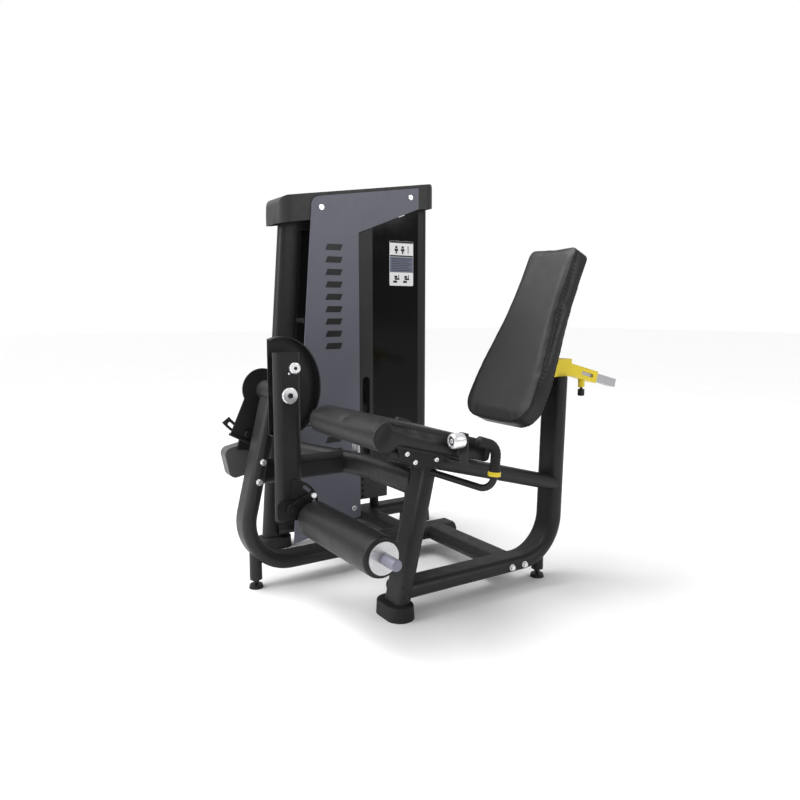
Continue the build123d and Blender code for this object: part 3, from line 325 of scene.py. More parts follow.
PIN_RED = Finish("pin_red", (0.3, 0.02, 0.012), (0.25, 0.35), grain=Grain.MOULD, size=0.001, height=0.00002)
PRINT_WHITE = Finish("print_white", (0.8, 0.8, 0.81), (0.3, 0.4), grain=Grain.MOULD, size=0.002,
                     height=0.00001,
                     drift=0.02)
PRINT_GREY = Finish("print_grey", (0.13, 0.14, 0.2), (0.3, 0.4), grain=Grain.MOULD, size=0.002,
                    height=0.00001)
# Dark print ink, also used as painted shade in the sockets of the pivot and stop caps.
DARK_PRINT_AND_SOCKET_SHADE = Finish("dark_print_and_socket_shade", (0.01, 0.01, 0.011), (0.3, 0.4), grain=Grain.MOULD, size=0.002,
                    height=0.00001)

NODE_FINISHES: dict[Finish, tuple[str, ...]] = {
    FRAME_PAINT: ("front_post", "base_beam", "rear_upright", "lever_upright", "seat_tube", "seat_cross_tube",
                  "tower_front_column", "tower_rear_column", "tower_base", "seat_pan", "handle_bars",
                  "lever_arm", "cam_guard", "index_plate", "roller_boss", "roller_arm",
                  "tower_brackets", "backrest_bracket", "range_plate"),
    PANEL_PAINT: ("face_plate",),
    DARK_PANEL: ("side_panels",),
    GLOSS_BLACK: ("gloss_panel",),
    COVER_PLASTIC: ("top_cover",),
    BLACK_PLASTIC: ("tube_plugs", "levelling_feet", "slide_pin", "arm_caps", "range_pin"),
    SHOE_RUBBER: ("rubber_shoes", "rod_bumpers"),
    YELLOW_PAINT: ("slide_sleeve", "handle_collars", "sleeve_mounts"),
    PLATED_STEEL: ("slide_bar", "pivot_shaft", "shaft_collars", "selector_stem", "pulley_axles",
                   "guide_rods"),
    BRIGHT_CHROME: ("frame_bolts", "pivot_caps", "roller_pin"),
    DISC_PAINT: ("roller_core",),
    AXLE_PAINT: ("roller_axle",),
    STACK_IRON: ("resting_plates", "lifted_plates"),
    WEIGHT_PAINT: ("counterweight",),
    PRINT_WHITE: ("placard",),
    CABLE_JACKET: ("main_cable",),
    PULLEY_NYLON: ("cross_pulley", "entry_pulley", "top_front_pulley", "top_rear_pulley"),
    PIN_RED: ("selector_pin",),
}


class Paintbox:
    """Builds each finish once and puts it on pieces."""

    def __init__(self) -> None:
        """Starts with no materials."""
        self.made: dict[str, bpy.types.Material] = {}

    def get(self, finish: Finish) -> bpy.types.Material:
        """The material of a finish.

        Args:
            finish: The finish.

        Returns:
            Its material, made on first use.
        """
        if finish.name not in self.made:
            self.made[finish.name] = finish.build()
        return self.made[finish.name]

    def coat(self, piece: bpy.types.Object, finish: Finish) -> None:
        """Covers a whole piece with one finish.

        Args:
            piece: The piece.
            finish: The finish.
        """
        piece.data.materials.clear()
        piece.data.materials.append(self.get(finish))

    def coat_nodes(self) -> None:
        """Gives each carried-over CAD node its finish through its material slots."""
        for finish, nodes in NODE_FINISHES.items():
            for name in nodes:
                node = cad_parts[name]
                for slot in node.material_slots:
                    slot.material = self.get(finish)
                log.info("%s finished in %s", name, finish.name)


PAINT = Paintbox()


# ---------------------------------------------------------------- workshop
class Axis(Enum):
    """Directions of a turned piece, as the rotation that lays it from Z."""

    X = (0, math.pi / 2, 0)
    MINUS_Y = (math.pi / 2, 0, 0)
    Z = (0, 0, 0)


def deselect() -> None:
    """Leaves nothing selected."""
    if bpy.context.mode != "OBJECT":
        bpy.ops.object.mode_set(mode="OBJECT")
    bpy.ops.object.select_all(action="DESELECT")


def pick(piece: bpy.types.Object) -> None:
    """Makes one piece active and selected alone.

    Args:
        piece: The piece.
    """
    deselect()
    piece.select_set(True)
    bpy.context.view_layer.objects.active = piece


def named(name: str) -> bpy.types.Object:
    """The active object, renamed.

    Args:
        name: Its new name.

    Returns:
        The object.
    """
    made = bpy.context.active_object
    made.name = name
    made.data.name = name
    return made


def settle(piece: bpy.types.Object) -> bpy.types.Object:
    """Moves a piece's place into its mesh, so that its object sits at the origin.

    Args:
        piece: The piece.

    Returns:
        The same piece.
    """
    pick(piece)
    bpy.ops.object.transform_apply(location=True, rotation=True, scale=True)
    return piece


def choose(piece: bpy.types.Object, test: Callable[[bmesh.types.BMVert], bool]) -> None:
    """Selects vertices of a piece in edit mode by a test.

    Args:
        piece: The piece, which is left in edit mode.
        test: Says whether a vertex is wanted.
    """
    pick(piece)
    bpy.ops.object.mode_set(mode="EDIT")
    bpy.ops.mesh.select_mode(type="VERT")
    bpy.ops.mesh.select_all(action="DESELECT")
    mesh = bmesh.from_edit_mesh(piece.data)
    for vertex in mesh.verts:
        vertex.select_set(bool(test(vertex)))
    mesh.select_flush(True)
    bmesh.update_edit_mesh(piece.data)


def done(piece: bpy.types.Object, angle: float = 35.0) -> bpy.types.Object:
    """Turns faces outward, shades by angle and leaves edit mode.

    Args:
        piece: The piece.
        angle: Edges sharper than this many degrees stay crisp.

    Returns:
        The same piece.
    """
    pick(piece)
    bpy.ops.object.mode_set(mode="EDIT")
    bpy.ops.mesh.select_all(action="SELECT")
    bpy.ops.mesh.normals_make_consistent(inside=False)
    bpy.ops.object.mode_set(mode="OBJECT")
    bpy.ops.object.shade_smooth_by_angle(angle=math.radians(angle))
    return piece


def turned(name: str, outline: Sequence[tuple[float, float]], place: Point, axis: Axis,
           steps: int = 48) -> bpy.types.Object:
    """Turned piece: a profile of (radius, height) pairs spun into rings by extruding and scaling.

    Args:
        name: Piece name.
        outline: Radius and height of each ring in metres, along the axis.
        place: Where height zero is, in metres.
        axis: The direction that height runs in.
        steps: Points round each ring.

    Returns:
        The closed turned piece.
    """
    deselect()
    radius, height = outline[0]
    bpy.ops.mesh.primitive_circle_add(vertices=steps, radius=radius, location=(0, 0, height),
                                      fill_type="NGON")
    piece = named(name)
    settle(piece)
    bpy.ops.object.mode_set(mode="EDIT")
    bpy.ops.mesh.select_all(action="SELECT")
    for next_radius, next_height in outline[1:]:
        bpy.ops.mesh.extrude_region_move(TRANSFORM_OT_translate={"value": (0, 0, next_height - height)})
        scale = next_radius / radius
        bpy.ops.transform.resize(value=(scale, scale, 1), center_override=(0, 0, next_height))
        radius, height = next_radius, next_height
    bpy.ops.object.mode_set(mode="OBJECT")
    piece.rotation_euler = axis.value
    piece.location = place
    settle(piece)
    return done(piece)


def joined(name: str, pieces: Sequence[bpy.types.Object]) -> bpy.types.Object:
    """One piece made of several.

    Args:
        name: Its name.
        pieces: The pieces, which are used up.

    Returns:
        The joined piece.
    """
    deselect()
    for piece in pieces:
        piece.select_set(True)
    bpy.context.view_layer.objects.active = pieces[0]
    if len(pieces) > 1:
        bpy.ops.object.join()
    return named(name)


def plate(name: str, size: Point, place: Point) -> bpy.types.Object:
    """Rectangular plate.

    Args:
        name: Piece name.
        size: Size along X, Y and Z in metres.
        place: Its middle.

    Returns:
        The plate.
    """
    deselect()
    bpy.ops.mesh.primitive_cube_add(size=1, location=place, scale=size)
    return settle(named(name))


def modify(piece: bpy.types.Object, kind: str, **settings: object) -> None:
    """Adds a modifier to the active piece and applies it.

    Args:
        piece: The piece, already active.
        kind: Blender's modifier type.
        settings: Its properties.
    """
    bpy.ops.object.modifier_add(type=kind)
    modifier = piece.modifiers[-1]
    for key, value in settings.items():
        setattr(modifier, key, value)
    bpy.ops.object.modifier_apply(modifier=modifier.name)


def bent(corners: Sequence[Vector], radius: float, pitch: float) -> list[Vector]:
    """Evenly spaced points along two straight runs joined by an arc.

    Args:
        corners: Start, corner and end.
        radius: Radius of the arc in metres.
        pitch: Spacing of the points in metres.

    Returns:
        The points.
    """
    start, corner, stop = corners
    first = (corner - start).normalized()
    second = (stop - corner).normalized()
    angle = first.angle(second)
    tangent = radius * math.tan(angle / 2)
    axis = first.cross(second).normalized()
    begin = corner - first * tangent
    centre = begin + axis.cross(first) * radius
    steps = max(2, round(radius * angle / pitch))
    arc = [centre + Matrix.Rotation(angle * k / steps, 3, axis) @ (begin - centre) for k in range(steps)]
    ahead = loop_points((start, begin), pitch, False)[:-1]
    return ahead + arc + loop_points((corner + second * tangent, stop), pitch, False)


def follow(name: str, route: Sequence[Vector], radius: float, closed: bool,
           radii: Sequence[float] | None = None) -> bpy.types.Object:
    """Round bead along a route.

    Args:
        name: Piece name.
        route: Points of the route in metres.
        radius: Bead radius in metres.
        closed: Whether the bead is a loop.
        radii: Share of the radius at each point, all 1 when left out.

    Returns:
        The bead as a mesh.
    """
    curve = bpy.data.curves.new(name, "CURVE")
    curve.dimensions = "3D"
    curve.bevel_depth = radius
    curve.bevel_resolution = 8 if radii else 2
    curve.resolution_u = 2
    curve.use_fill_caps = not closed
    line = curve.splines.new("POLY" if radii else "NURBS")
    line.points.add(len(route) - 1)
    for index, point in enumerate(route):
        line.points[index].co = (*point, 1)
        line.points[index].radius = radii[index] if radii else 1.0
    line.order_u = 3
    line.use_cyclic_u = closed
    line.use_endpoint_u = not closed
    piece = bpy.data.objects.new(name, curve)
    bpy.context.scene.collection.objects.link(piece)
    pick(piece)
    bpy.ops.object.convert(target="MESH")
    return done(named(name), 60)


def fit(piece: bpy.types.Object, body: str, finish: Finish, slot: str, *nodes: str) -> bpy.types.Object:
    """Finishes a piece and puts it on its body.

    Args:
        piece: The piece.
        body: CAD body it rides on.
        finish: Its finish.
        slot: Material slot of the record for its finish; not used.
        nodes: CAD nodes it stands for.

    Returns:
        The same piece.
    """
    if not piece.data.materials:
        PAINT.coat(piece, finish)
    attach(piece, body)
    if nodes:
        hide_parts(*nodes)
    log.info("%s rides on %s", piece.name, body)
    return piece


# ---------------------------------------------------------------- upholstery
@dataclass
class Padded:
    """A foam pad under stretched vinyl.

    Args:
        name: Piece name.
        node: CAD solid that it starts from.
        held: Says whether a vertex is glued to its board, from its place and normal.
        voxel: Remesh size in metres.
        sunk: How far the start shape lies inside the CAD solid, in metres.
        cap: Farthest that the inflated cover may move, in metres.
        pressure: Air pressure under the cover.
        calm: Smoothing passes after inflating.
    """

    name: str
    node: str
    held: Callable[[Vector, Vector], bool]
    voxel: float = 0.005
    sunk: float = 0.004
    cap: float = 0.006
    pressure: float = 4.0
    calm: int = 6
    piece: bpy.types.Object = field(default=None, init=False)

    def start(self) -> bpy.types.Object:
        """Copies the CAD solid, merges it, remeshes it evenly and draws it in a little.

        Returns:
            The start shape.
        """
        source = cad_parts[self.node]
        mesh = source.data.copy()
        piece = bpy.data.objects.new(self.name, mesh)
        bpy.context.scene.collection.objects.link(piece)
        mesh.name = self.name
        mesh.materials.clear()
        pick(piece)
        bpy.ops.object.mode_set(mode="EDIT")
        bpy.ops.mesh.select_all(action="SELECT")
        bpy.ops.mesh.remove_doubles(threshold=0.00002)
        bpy.ops.mesh.normals_make_consistent(inside=False)
        bpy.ops.object.mode_set(mode="OBJECT")
        mesh.remesh_voxel_size = self.voxel
        bpy.ops.object.voxel_remesh()
        modify(piece, "DISPLACE", strength=-self.sunk, mid_level=0)
        modify(piece, "SMOOTH", iterations=4)
        return piece

    def inflate(self, piece: bpy.types.Object) -> None:
        """Blows the cover out against its glued underside, and caps how far it moves.

        Args:
            piece: The evenly meshed start shape.
        """
        rest = [v.co.copy() for v in piece.data.vertices]
        group = piece.vertex_groups.new(name="glued")
        glued = [v.index for v in piece.data.vertices if self.held(v.co, v.normal)]
        group.add(glued, 1.0, "REPLACE")
        pick(piece)
        bpy.ops.object.modifier_add(type="CLOTH")
        cloth = piece.modifiers[-1]
        cloth.settings.quality = 5
        cloth.settings.use_pressure = True
        cloth.settings.uniform_pressure_force = self.pressure
        cloth.settings.effector_weights.gravity = 0
        cloth.settings.vertex_group_mass = "glued"
        cloth.settings.tension_stiffness = 25
        cloth.settings.compression_stiffness = 25
        cloth.settings.bending_stiffness = 6.0
        cloth.collision_settings.use_collision = False
        cloth.collision_settings.use_self_collision = False
        cloth.point_cache.frame_start = 1
        cloth.point_cache.frame_end = 20
        for step in range(1, 21):
            bpy.context.scene.frame_set(step)
        bpy.ops.object.modifier_apply(modifier=cloth.name)
        for vertex, was in zip(piece.data.vertices, rest):
            moved = vertex.co - was
            if moved.length > self.cap:
                vertex.co = was + moved.normalized() * self.cap
        bpy.context.scene.frame_set(1)

    def build(self) -> bpy.types.Object:
        """Returns:
            The finished pad.
        """
        self.piece = self.start()
        self.inflate(self.piece)
        pick(self.piece)
        modify(self.piece, "SMOOTH", iterations=self.calm)
        modify(self.piece, "SUBSURF", levels=1)
        bpy.ops.object.shade_smooth()
        return self.piece

    def surface(self) -> BVHTree:
        """The pad's surface, to lay seams on.

        Returns:
            A search tree over its faces.
        """
        mesh = self.piece.data
        return BVHTree.FromPolygons([v.co for v in mesh.vertices], [p.vertices for p in mesh.polygons])

    def groove(self, route: Sequence[Vector], width: float, depth: float) -> None:
        """Draws the cover in along a seam.

        Args:
            route: Points of the seam.
            width: Half width of the groove in metres.
            depth: Its depth in metres.
        """
        tree = KDTree(len(route))
        for index, point in enumerate(route):
            tree.insert(point, index)
        tree.balance()
        mesh = self.piece.data
        sunk = []
        for vertex in mesh.vertices:
            _, _, away = tree.find(vertex.co)
            if away < width:
                share = 0.5 + 0.5 * math.cos(math.pi * away / width)
                sunk.append((vertex.index, vertex.co - vertex.normal * depth * share))
        for index, place in sunk:
            mesh.vertices[index].co = place
        mesh.update()


def loop_points(corners: Sequence[Vector], pitch: float, closed: bool = True) -> list[Vector]:
    """Evenly spaced points along straight runs between corners.

    Args:
        corners: The corners in order.
        pitch: Spacing in metres.
        closed: Whether the last corner joins the first.

    Returns:
        The points.
    """
    result: list[Vector] = []
    count = len(corners)
    for index in range(count if closed else count - 1):
        start, stop = corners[index], corners[(index + 1) % count]
        steps = max(1, round((stop - start).length / pitch))
        result += [start.lerp(stop, k / steps) for k in range(steps)]
    if not closed:
        result.append(corners[-1])
    return result


def laid(route: Iterable[Vector], surface: BVHTree, proud: float) -> list[Vector]:
    """Points of a route dropped onto a surface and raised by an amount along its normal.

    Args:
        route: Points near the surface.
        surface: The surface.
        proud: How far above it they end, in metres.

    Returns:
        The laid points.
    """
    result = []
    for point in route:
        spot, normal, _, _ = surface.find_nearest(point)
        result.append(spot + normal * proud)
    return result


@dataclass
class Seams:
    """Welt sunk into a groove along one seam of a pad.

    Args:
        pad: The pad.
        name: Name of the welt.
        route: The seam's points near the pad's surface.
        closed: Whether the seam is a loop.
        radius: Welt radius in metres.
        groove_half: Half width of the groove in metres.
        groove_depth: Depth of the groove in metres.
        proud: Share of the welt's radius by which its middle stands above the groove.
    """

    pad: Padded
    name: str
    route: list[Vector]
    closed: bool = True
    radius: float = 0.0016
    groove_half: float = 0.007
    groove_depth: float = 0.0016
    proud: float = 0.35

    def build(self) -> bpy.types.Object:
        """Sinks a groove, then lays the welt in it.

        Returns:
            The welt.
        """
        line = laid(self.route, self.pad.surface(), 0.0)
        self.pad.groove(line, self.groove_half, self.groove_depth)
        line = laid(self.route, self.pad.surface(), self.radius * self.proud)
        return follow(self.name, line, self.radius, self.closed)


@dataclass
class Upholstery:
    """Seat, backrest and roller covers with their seams.

    Args:
        slope: Fall of the seat toward its rear.
        seat_origin: Point of the seat tube that the cushion is measured from.
        half_width: Half the seat's width.
        seat_low: Underside of the slab above the seat tube.
        seat_top: Top of the slab above the seat tube.
        seat_rear: Rear end of the slab, down the slope.
        roll_s: Middle of the front roll, down the slope.
        roll_n: Middle of the front roll above the seat tube.
        roll_radius: Radius of the front roll.
        tilt: Lean of the backrest.
        back_foot: Middle of the backrest's front at its foot.
        back_length: Length of the backrest.
        back_sections: Distance up the backrest and its half width there.
        seam_pitch: Spacing of the points along a seam.
    """

    slope: float = math.radians(15.1)
    seat_origin: Vector = field(default_factory=lambda: Vector((0, 0.113, 0.480)))
    half_width: float = 0.2
    seat_low: float = 0.0333
    seat_top: float = 0.0953
    seat_rear: float = 0.087
    roll_s: float = -0.282
    roll_n: float = 0.0493
    roll_radius: float = 0.046
    tilt: float = math.radians(25.4)
    back_foot: Vector = field(default_factory=lambda: Vector((0, 0.370, 0.584)))
    back_length: float = 0.63
    back_sections: tuple[tuple[float, float], ...] = (
        (0.0, 0.083), (0.02, 0.125), (0.05, 0.154), (0.095, 0.163), (0.19, 0.157), (0.31, 0.139),
        (0.43, 0.123), (0.55, 0.116), (0.602, 0.115), (0.622, 0.106), (0.63, 0.09))
    seam_pitch: float = 0.012

    def seat_point(self, x: float, s: float, n: float) -> Vector:
        """Point given by its place across, down the slope and above the seat tube.

        Args:
            x: Place across, in metres.
            s: Distance down the slope from the origin.
            n: Height above the seat tube.

        Returns:
            The point.
        """
        down = Vector((0, math.cos(self.slope), -math.sin(self.slope)))
        up = Vector((0, math.sin(self.slope), math.cos(self.slope)))
        return self.seat_origin + down * s + up * n + Vector((x, 0, 0))

    def back_point(self, x: float, u: float, depth: float) -> Vector:
        """Point given by its place across, up the pad and behind its front.

        Args:
            x: Place across, in metres.
            u: Distance up the pad.
            depth: Distance behind its front.

        Returns:
            The point.
        """
        up = Vector((0, math.sin(self.tilt), math.cos(self.tilt)))
        behind = Vector((0, math.cos(self.tilt), -math.sin(self.tilt)))
        return self.back_foot + up * u + behind * depth + Vector((x, 0, 0))

    def seat(self) -> None:
        """Slab with a rolled front, seams round both flanks and across the roll."""
        up = Vector((0, math.sin(self.slope), math.cos(self.slope)))

        # Glued: underside of the slab, over its board.
        pad = Padded(
            "seat_cover", "seat_cushion",
            lambda place, normal: normal.dot(up) < -0.85 and (place - self.seat_origin).dot(up) < 0.045,
            sunk=0.0035, cap=0.007, pressure=3.0, calm=10)
        pad.build()
        pieces = []
        for side in (-1, 1):
            x = side * (self.half_width - 0.001)
            corners = [self.seat_point(x, s, n) for s, n in self.seat_profile()]
            route = loop_points(corners, self.seam_pitch)
            pieces.append(Seams(pad, "seat_flank_welt", route).build())
        edge = self.half_width - 0.002
        across = [self.seat_point(x, self.roll_s + 0.03, self.seat_top) for x in (-edge, edge)]
        route = loop_points(across, self.seam_pitch, False)
        pieces.append(Seams(pad, "seat_roll_welt", route, False, 0.0011).build())
        fit(joined("seat_welts", pieces), "frame", VINYL, "upholstery")
        fit(pad.piece, "frame", VINYL, "upholstery", "seat_cushion")

    def seat_profile(self) -> list[tuple[float, float]]:
        """Outline of the seat's flank: its rear end, then round the front roll to the underside.

        Returns:
            Distance down the slope and height above the seat tube of each corner.
        """
        low, top, rear = self.seat_low, self.seat_top, self.seat_rear
        profile = [(rear - 0.01, low + 0.004), (rear, low + 0.02), (rear, top - 0.02), (rear - 0.012, top)]
        for step in range(14):
            angle = math.radians(90 + step * 18.0)
            profile.append((self.roll_s + self.roll_radius * math.cos(angle),
                            self.roll_n + self.roll_radius * math.sin(angle)))
        profile.append((self.roll_s + 0.05, low))
        return profile

    def back_half(self, u: float) -> float:
        """Half width of the backrest at a height up the pad.

        Args:
            u: Distance up the pad in metres.

        Returns:
            The half width in metres.
        """
        for (u0, w0), (u1, w1) in zip(self.back_sections, self.back_sections[1:]):
            if u <= u1:
                return w0 + (w1 - w0) * (u - u0) / (u1 - u0)
        return self.back_sections[-1][1]

    def backrest(self) -> None:
        """Waisted pad with a seam near its front edge and one near its rear edge."""
        behind = Vector((0, math.cos(self.tilt), -math.sin(self.tilt)))

        # Glued: rear face, over its board.
        pad = Padded(
            "backrest_cover", "backrest_pad",
            lambda place, normal: normal.dot(behind) > 0.9,
            cap=0.008, pressure=2.6, calm=14)
        pad.build()
        heights = [self.back_length * k / 44 for k in range(45)]
        pieces = []
        for depth, radius in ((0.012, 0.0017), (0.058, 0.0013)):
            right = [self.back_point(self.back_half(u), u, depth) for u in heights]
            left = [self.back_point(-self.back_half(u), u, depth) for u in reversed(heights)]
            route = loop_points(right + left, self.seam_pitch)
            pieces.append(Seams(pad, "back_welt", route, True, radius).build())
        fit(joined("backrest_welts", pieces), "backrest", VINYL, "upholstery")
        fit(pad.piece, "backrest", VINYL, "upholstery", "backrest_pad")

    def roller(self) -> None:
        """Foam roller in a vinyl sleeve, closed by a ring seam at each end."""
        low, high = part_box("roller_pad")
        centre = (low + high) / 2

        # Glued: bore of the foam, on its tube.
        pad = Padded(
            "roller_cover", "roller_pad",
            lambda place, normal: math.hypot(place.y - centre.y, place.z - centre.z) < 0.024,
            voxel=0.0045, sunk=0.002, cap=0.003)
        pad.build()
        inset = 0.004
        radius = (high.z - low.z) / 2 - inset
        turns = [2 * math.pi * k / 60 for k in range(60)]
        pieces = []
        for x in (low.x + inset, high.x - inset):
            ring = [Vector((x, centre.y + radius * math.cos(t), centre.z + radius * math.sin(t)))
                    for t in turns]
            pieces.append(Seams(pad, "roller_welt", ring, True, 0.0013).build())
        fit(joined("roller_welts", pieces), "roller", VINYL, "upholstery")
        fit(pad.piece, "roller", VINYL, "upholstery", "roller_pad")

    def build(self) -> None:
        """Makes all three pads."""
        self.seat()
        self.backrest()
        self.roller()


# ---------------------------------------------------------------- hardware
@dataclass
class Controls:
    """Hand grips and the clamp knob.

    Args:
        grip_radius: Outer radius of a grip.
        pitch: Spacing of the grip's ribs.
        handle_x: Distance of each handle from the seat's middle plane.
        handle_corners: Y and Z of the handle's foot, elbow and end.
        bend: Radius of the handle at its elbow.
        collar_top: Where the grip starts above the handle's foot.
        overhang: How far the grip runs past the handle's end.
        step: Spacing of the rings that a grip is made from.
        knob_radius: Radius of the knob.
        knob_depth: Length of the knob without its stud.
    """

    grip_radius: float = 0.0155
    pitch: float = 0.009
    handle_x: float = 0.222
    handle_corners: tuple[tuple[float, float], ...] = ((0.200, 0.412), (0.212, 0.545), (0.148, 0.566))
    bend: float = 0.038
    collar_top: float = 0.0592
    overhang: float = 0.008
    step: float = 0.0008
    knob_radius: float = 0.022
    knob_depth: float = 0.042

    def grips(self) -> None:
        """Ribbed rubber sleeve on each handle, bent forward with it."""
        made = []
        for side in (-1, 1):
            foot, elbow, end = (Vector((side * self.handle_x, y, z)) for y, z in self.handle_corners)
            start = foot + (elbow - foot).normalized() * self.collar_top
            stop = end + (end - elbow).normalized() * self.overhang
            route = bent((start, elbow, stop), self.bend, self.step)
            length = (len(route) - 1) * self.step
            radii = [self.rib(index * self.step, length) for index in range(len(route))]
            made.append(follow("grip", route, self.grip_radius, False, radii))
        fit(joined("ribbed_grips", made), "frame", GRIP_RUBBER, "grip_rubber", "handle_grips")

    def rib(self, along: float, length: float) -> float:
        """Share of the full radius at a distance along the grip.

        Args:
            along: Distance from the collar in metres.
            length: The grip's length in metres.

        Returns:
            The radius as a share of the grip radius.
        """
        end = length - along
        flange, dome = 0.005, 0.008
        if along < flange:
            return 1.08
        if end < dome:
            return max(0.35, math.sqrt(max(0.0, 1 - (1 - end / dome) ** 2)))
        return 0.92 if (along / self.pitch) % 1 < 0.3 else 1.0

    def knob(self) -> None:
        """Bright turned knob with a dark ring recessed in its face."""
        low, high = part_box("side_knob")
        centre = (low + high) / 2
        r, depth = self.knob_radius, self.knob_depth
        back = low.y + depth
        outline = [(0.0049, -0.008), (0.0049, 0.0), (0.012, 0.0), (r - 0.006, 0.0), (r - 0.001, 0.003),
                   (r, 0.008),
                   (r, depth - 0.008), (r - 0.0015, depth - 0.003), (r - 0.005, depth - 0.0002),
                   (0.0125, depth - 0.0002), (0.0115, depth - 0.003), (0.0075, depth - 0.003),
                   (0.0065, depth - 0.0008), (0.001, depth - 0.0002)]
        body = turned("knob_body", outline, (centre.x, back, centre.z), Axis.MINUS_Y, 60)
        ring = turned("knob_ring", [(0.0072, 0), (0.0118, 0), (0.0118, 0.0016), (0.0072, 0.0016)],
                      (centre.x, low.y + 0.0032, centre.z), Axis.MINUS_Y, 40)
        PAINT.coat(ring, DARK_PRINT_AND_SOCKET_SHADE)
        PAINT.coat(body, BRIGHT_CHROME)
        fit(joined("hand_knob", [body, ring]), "knob", BRIGHT_CHROME, "bright_chrome", "side_knob")

    def build(self) -> None:
        """Makes the grips and the knob."""
        self.grips()
        self.knob()


@dataclass
class Tower:
    """Printed card, plain bars on the face plate, and the cable above the stack.

    Args:
        bar_pitch: Spacing of the bars up the face plate.
        bar_groups: Height of each group's lowest bar, and how many bars it has.
        bar_size: Width and height of a bar.
        bar_lean: How far a bar's upper edge leans to the rear.
        ink: Thickness of the bars.
        stack_rise: How far the stack rises; not used.
    """

    bar_pitch: float = 0.048
    bar_groups: tuple[tuple[float, int], ...] = ((0.80, 9), (0.33, 4))
    bar_size: tuple[float, float] = (0.066, 0.024)
    bar_lean: float = 0.01
    ink: float = 0.0004
    stack_rise: float = 0.2052

    def card(self) -> None:
        """Instruction card: plain frames, bars and two simple figures, with no lettering."""
        low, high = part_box("placard")
        x = high.x
        wide = high.y - low.y
        tall = high.z - low.z
        dark, grey = [], []

        def mark(group: list, y: float, z: float, w: float, h: float, t: float = 0.0003) -> None:
            """One printed rectangle, placed by its share of the card.

            Args:
                group: The marks printed in one ink.
                y: Middle, as a share of the width.
                z: Middle, as a share of the height.
                w: Width as a share.
                h: Height as a share.
                t: Thickness of the ink in metres.
            """
            at = (x + t / 2, low.y + y * wide, low.z + z * tall)
            group.append(plate("mark", (t, w * wide, h * tall), at))

        mark(dark, 0.5, 0.975, 0.98, 0.045)
        mark(dark, 0.5, 0.665, 0.98, 0.035)
        mark(grey, 0.5, 0.47, 0.98, 0.34)
        for row in range(8):
            w = 0.86 - 0.07 * (row % 3)
            mark(dark, 0.07 + w / 2, 0.61 - row * 0.038, w, 0.011, 0.0005)
        for y in (0.28, 0.55):
            mark(dark, y, 0.86, 0.09, 0.05)
            mark(dark, y, 0.80, 0.15, 0.05)
            mark(dark, y, 0.745, 0.06, 0.06)
        mark(dark, 0.78, 0.81, 0.03, 0.16)
        for y in (0.26, 0.68):
            mark(dark, y, 0.20, 0.12, 0.05)
            mark(dark, y + 0.05, 0.15, 0.2, 0.04)
            mark(dark, y - 0.03, 0.09, 0.16, 0.05)
            mark(dark, y + 0.12, 0.21, 0.03, 0.07)
        for group, finish, name in ((dark, DARK_PRINT_AND_SOCKET_SHADE, "card_print"), (grey, PRINT_GREY, "card_field")):
            fit(joined(name, group), "frame", finish, "placard_print")

    def bars(self) -> None:
        """Plain slanted bars up the face plate, in place of a printed name."""
        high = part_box("face_plate")[1]
        made = []
        for foot, count in self.bar_groups:
            for row in range(count):
                z = foot + row * self.bar_pitch
                piece = plate("bar", (self.ink, *self.bar_size), (high.x + self.ink / 2, 0.15 + z * 0.012, z))
                choose(piece, lambda v: v.co.z > z)
                bpy.ops.transform.translate(value=(0, self.bar_lean, 0))
                bpy.ops.object.mode_set(mode="OBJECT")
                made.append(piece)
        fit(joined("plate_bars", made), "frame", DARK_PRINT_AND_SOCKET_SHADE, "dark_panel")

    def hanging_cable(self) -> None:
        """The run above the stack, at its resting length; the real run shortens as the stack rises."""
        low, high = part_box("stack_cable")
        middle = (low + high) / 2
        length = high.z - low.z
        radius = (high.x - low.x) / 2
        piece = turned("hanging_cable", [(radius, 0), (radius, length * 0.5), (radius, length)],
                       (middle.x, middle.y, low.z), Axis.Z, 20)
        fit(piece, "frame", CABLE_JACKET, "cable_jacket", "stack_cable")
        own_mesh(piece)

    def build(self) -> None:
        """Makes the tower's own pieces."""
        self.card()
        self.bars()
        self.hanging_cable()


@dataclass
class Sockets:
    """Dark hexagons on the bright caps of the lever's pivot and stop, painted shade in place of the hex
    socket recesses.

    Args:
        radius: Corner radius of the pivot's hexagon.
        caps: Y, Z and share of the radius for each cap.
        sunk: How far a hexagon's base lies inside its cap.
    """

    radius: float = 0.0085
    caps: tuple[tuple[float, float, float], ...] = ((-0.211, 0.669, 1.0), (-0.193, 0.756, 0.72))
    sunk: float = 0.0001

    def build(self) -> None:
        """Sets a dark hexagon of painted socket shade in each cap's face."""
        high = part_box("pivot_caps")[1]
        made = []
        for y, z, scale in self.caps:
            r = self.radius * scale
            place = (high.x - self.sunk, y, z)
            made.append(turned("hexagon", [(r, 0), (r, 0.0007), (r * 0.5, 0.0004)], place, Axis.X, 6))
        # Painted shade: the dark print finish on these hexagons stands in for the shadowed socket holes.
        fit(joined("cap_socket_shade", made), "lever", DARK_PRINT_AND_SOCKET_SHADE, "bright_chrome")


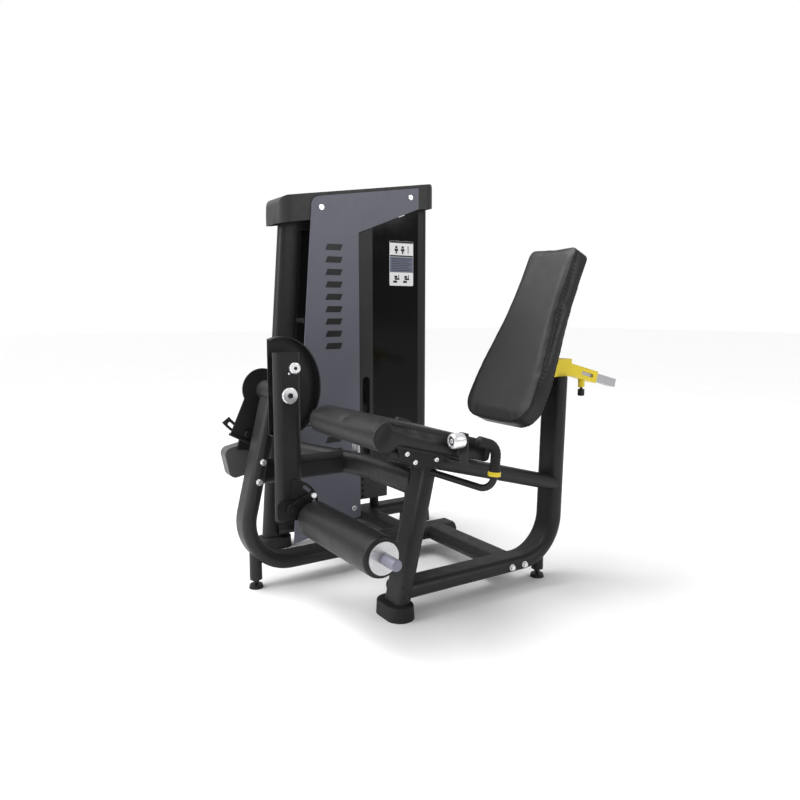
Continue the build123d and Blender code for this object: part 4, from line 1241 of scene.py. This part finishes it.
# ---------------------------------------------------------------- stage
@dataclass
class Studio:
    """Pale floor, soft light and the camera.

    Args:
        eye: Place of the camera.
        azimuth: Turn of the camera about the upright, degrees.
        pitch: How far it looks down, degrees.
        lens: Focal length in millimetres on a 36 mm sensor.
        rise: Upward shift of the view.
        lamps: Name, place, aim, side and power of each square lamp.
    """

    eye: Point = (1.7664, -1.1083, 0.9350)
    azimuth: float = 57.43
    pitch: float = 6.58
    lens: float = 31.58
    rise: float = -0.0094
    lamps: tuple[tuple[str, Point, Point, float, float], ...] = (
        ("top_strip", (-0.9, -0.6, 3.4), (-0.4, 0.3, 0.6), 1.6, 45),
        ("front_left", (-0.6, -3.6, 1.9), (-0.3, 0.1, 0.6), 1.4, 55),
        ("rear_right", (3.0, 2.2, 2.4), (0, 0.5, 0.8), 1.2, 30))

    def floor(self) -> None:
        """Plain pale floor."""
        deselect()
        bpy.ops.mesh.primitive_plane_add(size=60, location=(0, 0, 0))
        ground = named("floor")
        graph = Graph("floor_white")
        tone = graph.mix(graph.between(graph.noise(3, 3), 0, 1), (0.86, 0.86, 0.86, 1), (0.88, 0.88, 0.88, 1))
        graph.links.new(tone, graph.shader.inputs["Base Color"])
        graph.shader.inputs["Roughness"].default_value = 0.7
        ground.data.materials.append(graph.material)

    def lamp(self, name: str, place: Point, aim: Point, size: float, power: float) -> None:
        """Square soft light aimed at a point.

        Args:
            name: Its name.
            place: Where it hangs.
            aim: The point it is turned to.
            size: Side of the square in metres.
            power: Its power in watts.
        """
        deselect()
        bpy.ops.object.light_add(type="AREA", location=place)
        light = bpy.context.active_object
        light.name = name
        light.data.shape = "SQUARE"
        light.data.size = size
        light.data.energy = power
        line = Vector(aim) - Vector(place)
        light.rotation_euler = line.to_track_quat("-Z", "Y").to_euler()

    def sky(self) -> None:
        """White backdrop that lights the machine at half its brightness."""
        world = bpy.data.worlds.new("studio")
        bpy.context.scene.world = world
        world.use_nodes = True
        nodes, links = world.node_tree.nodes, world.node_tree.links
        seen = nodes.new("ShaderNodeLightPath")
        level = nodes.new("ShaderNodeMapRange")
        level.inputs["To Min"].default_value = 0.5
        level.inputs["To Max"].default_value = 1.0
        links.new(seen.outputs["Is Camera Ray"], level.inputs["Value"])
        links.new(level.outputs["Result"], nodes["Background"].inputs["Strength"])
        nodes["Background"].inputs["Color"].default_value = (1, 1, 1, 1)

    def sun(self) -> None:
        """Wide, soft light from above."""
        deselect()
        bpy.ops.object.light_add(type="SUN", rotation=(math.radians(28), math.radians(-22), 0))
        sun = bpy.context.active_object
        sun.data.energy = 2.5
        sun.data.angle = math.radians(75)

    def camera(self) -> None:
        """Camera at its place, with a plain view transform."""
        deselect()
        turn = (math.radians(90 - self.pitch), 0, math.radians(self.azimuth))
        bpy.ops.object.camera_add(location=self.eye, rotation=turn)
        camera = bpy.context.active_object
        camera.data.lens = self.lens
        camera.data.sensor_width = 36
        camera.data.shift_y = self.rise
        camera.data.clip_end = 100
        bpy.context.scene.camera = camera
        bpy.context.scene.view_settings.view_transform = "Standard"

    def build(self) -> None:
        """Sets up floor, backdrop, lights and camera."""
        self.floor()
        self.sky()
        self.sun()
        for name, place, aim, size, power in self.lamps:
            self.lamp(name, place, aim, size, power)
        self.camera()


def main() -> None:
    """Builds the machine's looks in order."""
    logging.basicConfig(level=logging.INFO, format="%(message)s")
    PAINT.coat_nodes()
    for part in (Upholstery(), Controls(), Tower(), Sockets(), Studio()):
        part.build()
        log.info("%s built", type(part).__name__)


if __name__ == "__main__":
    main()
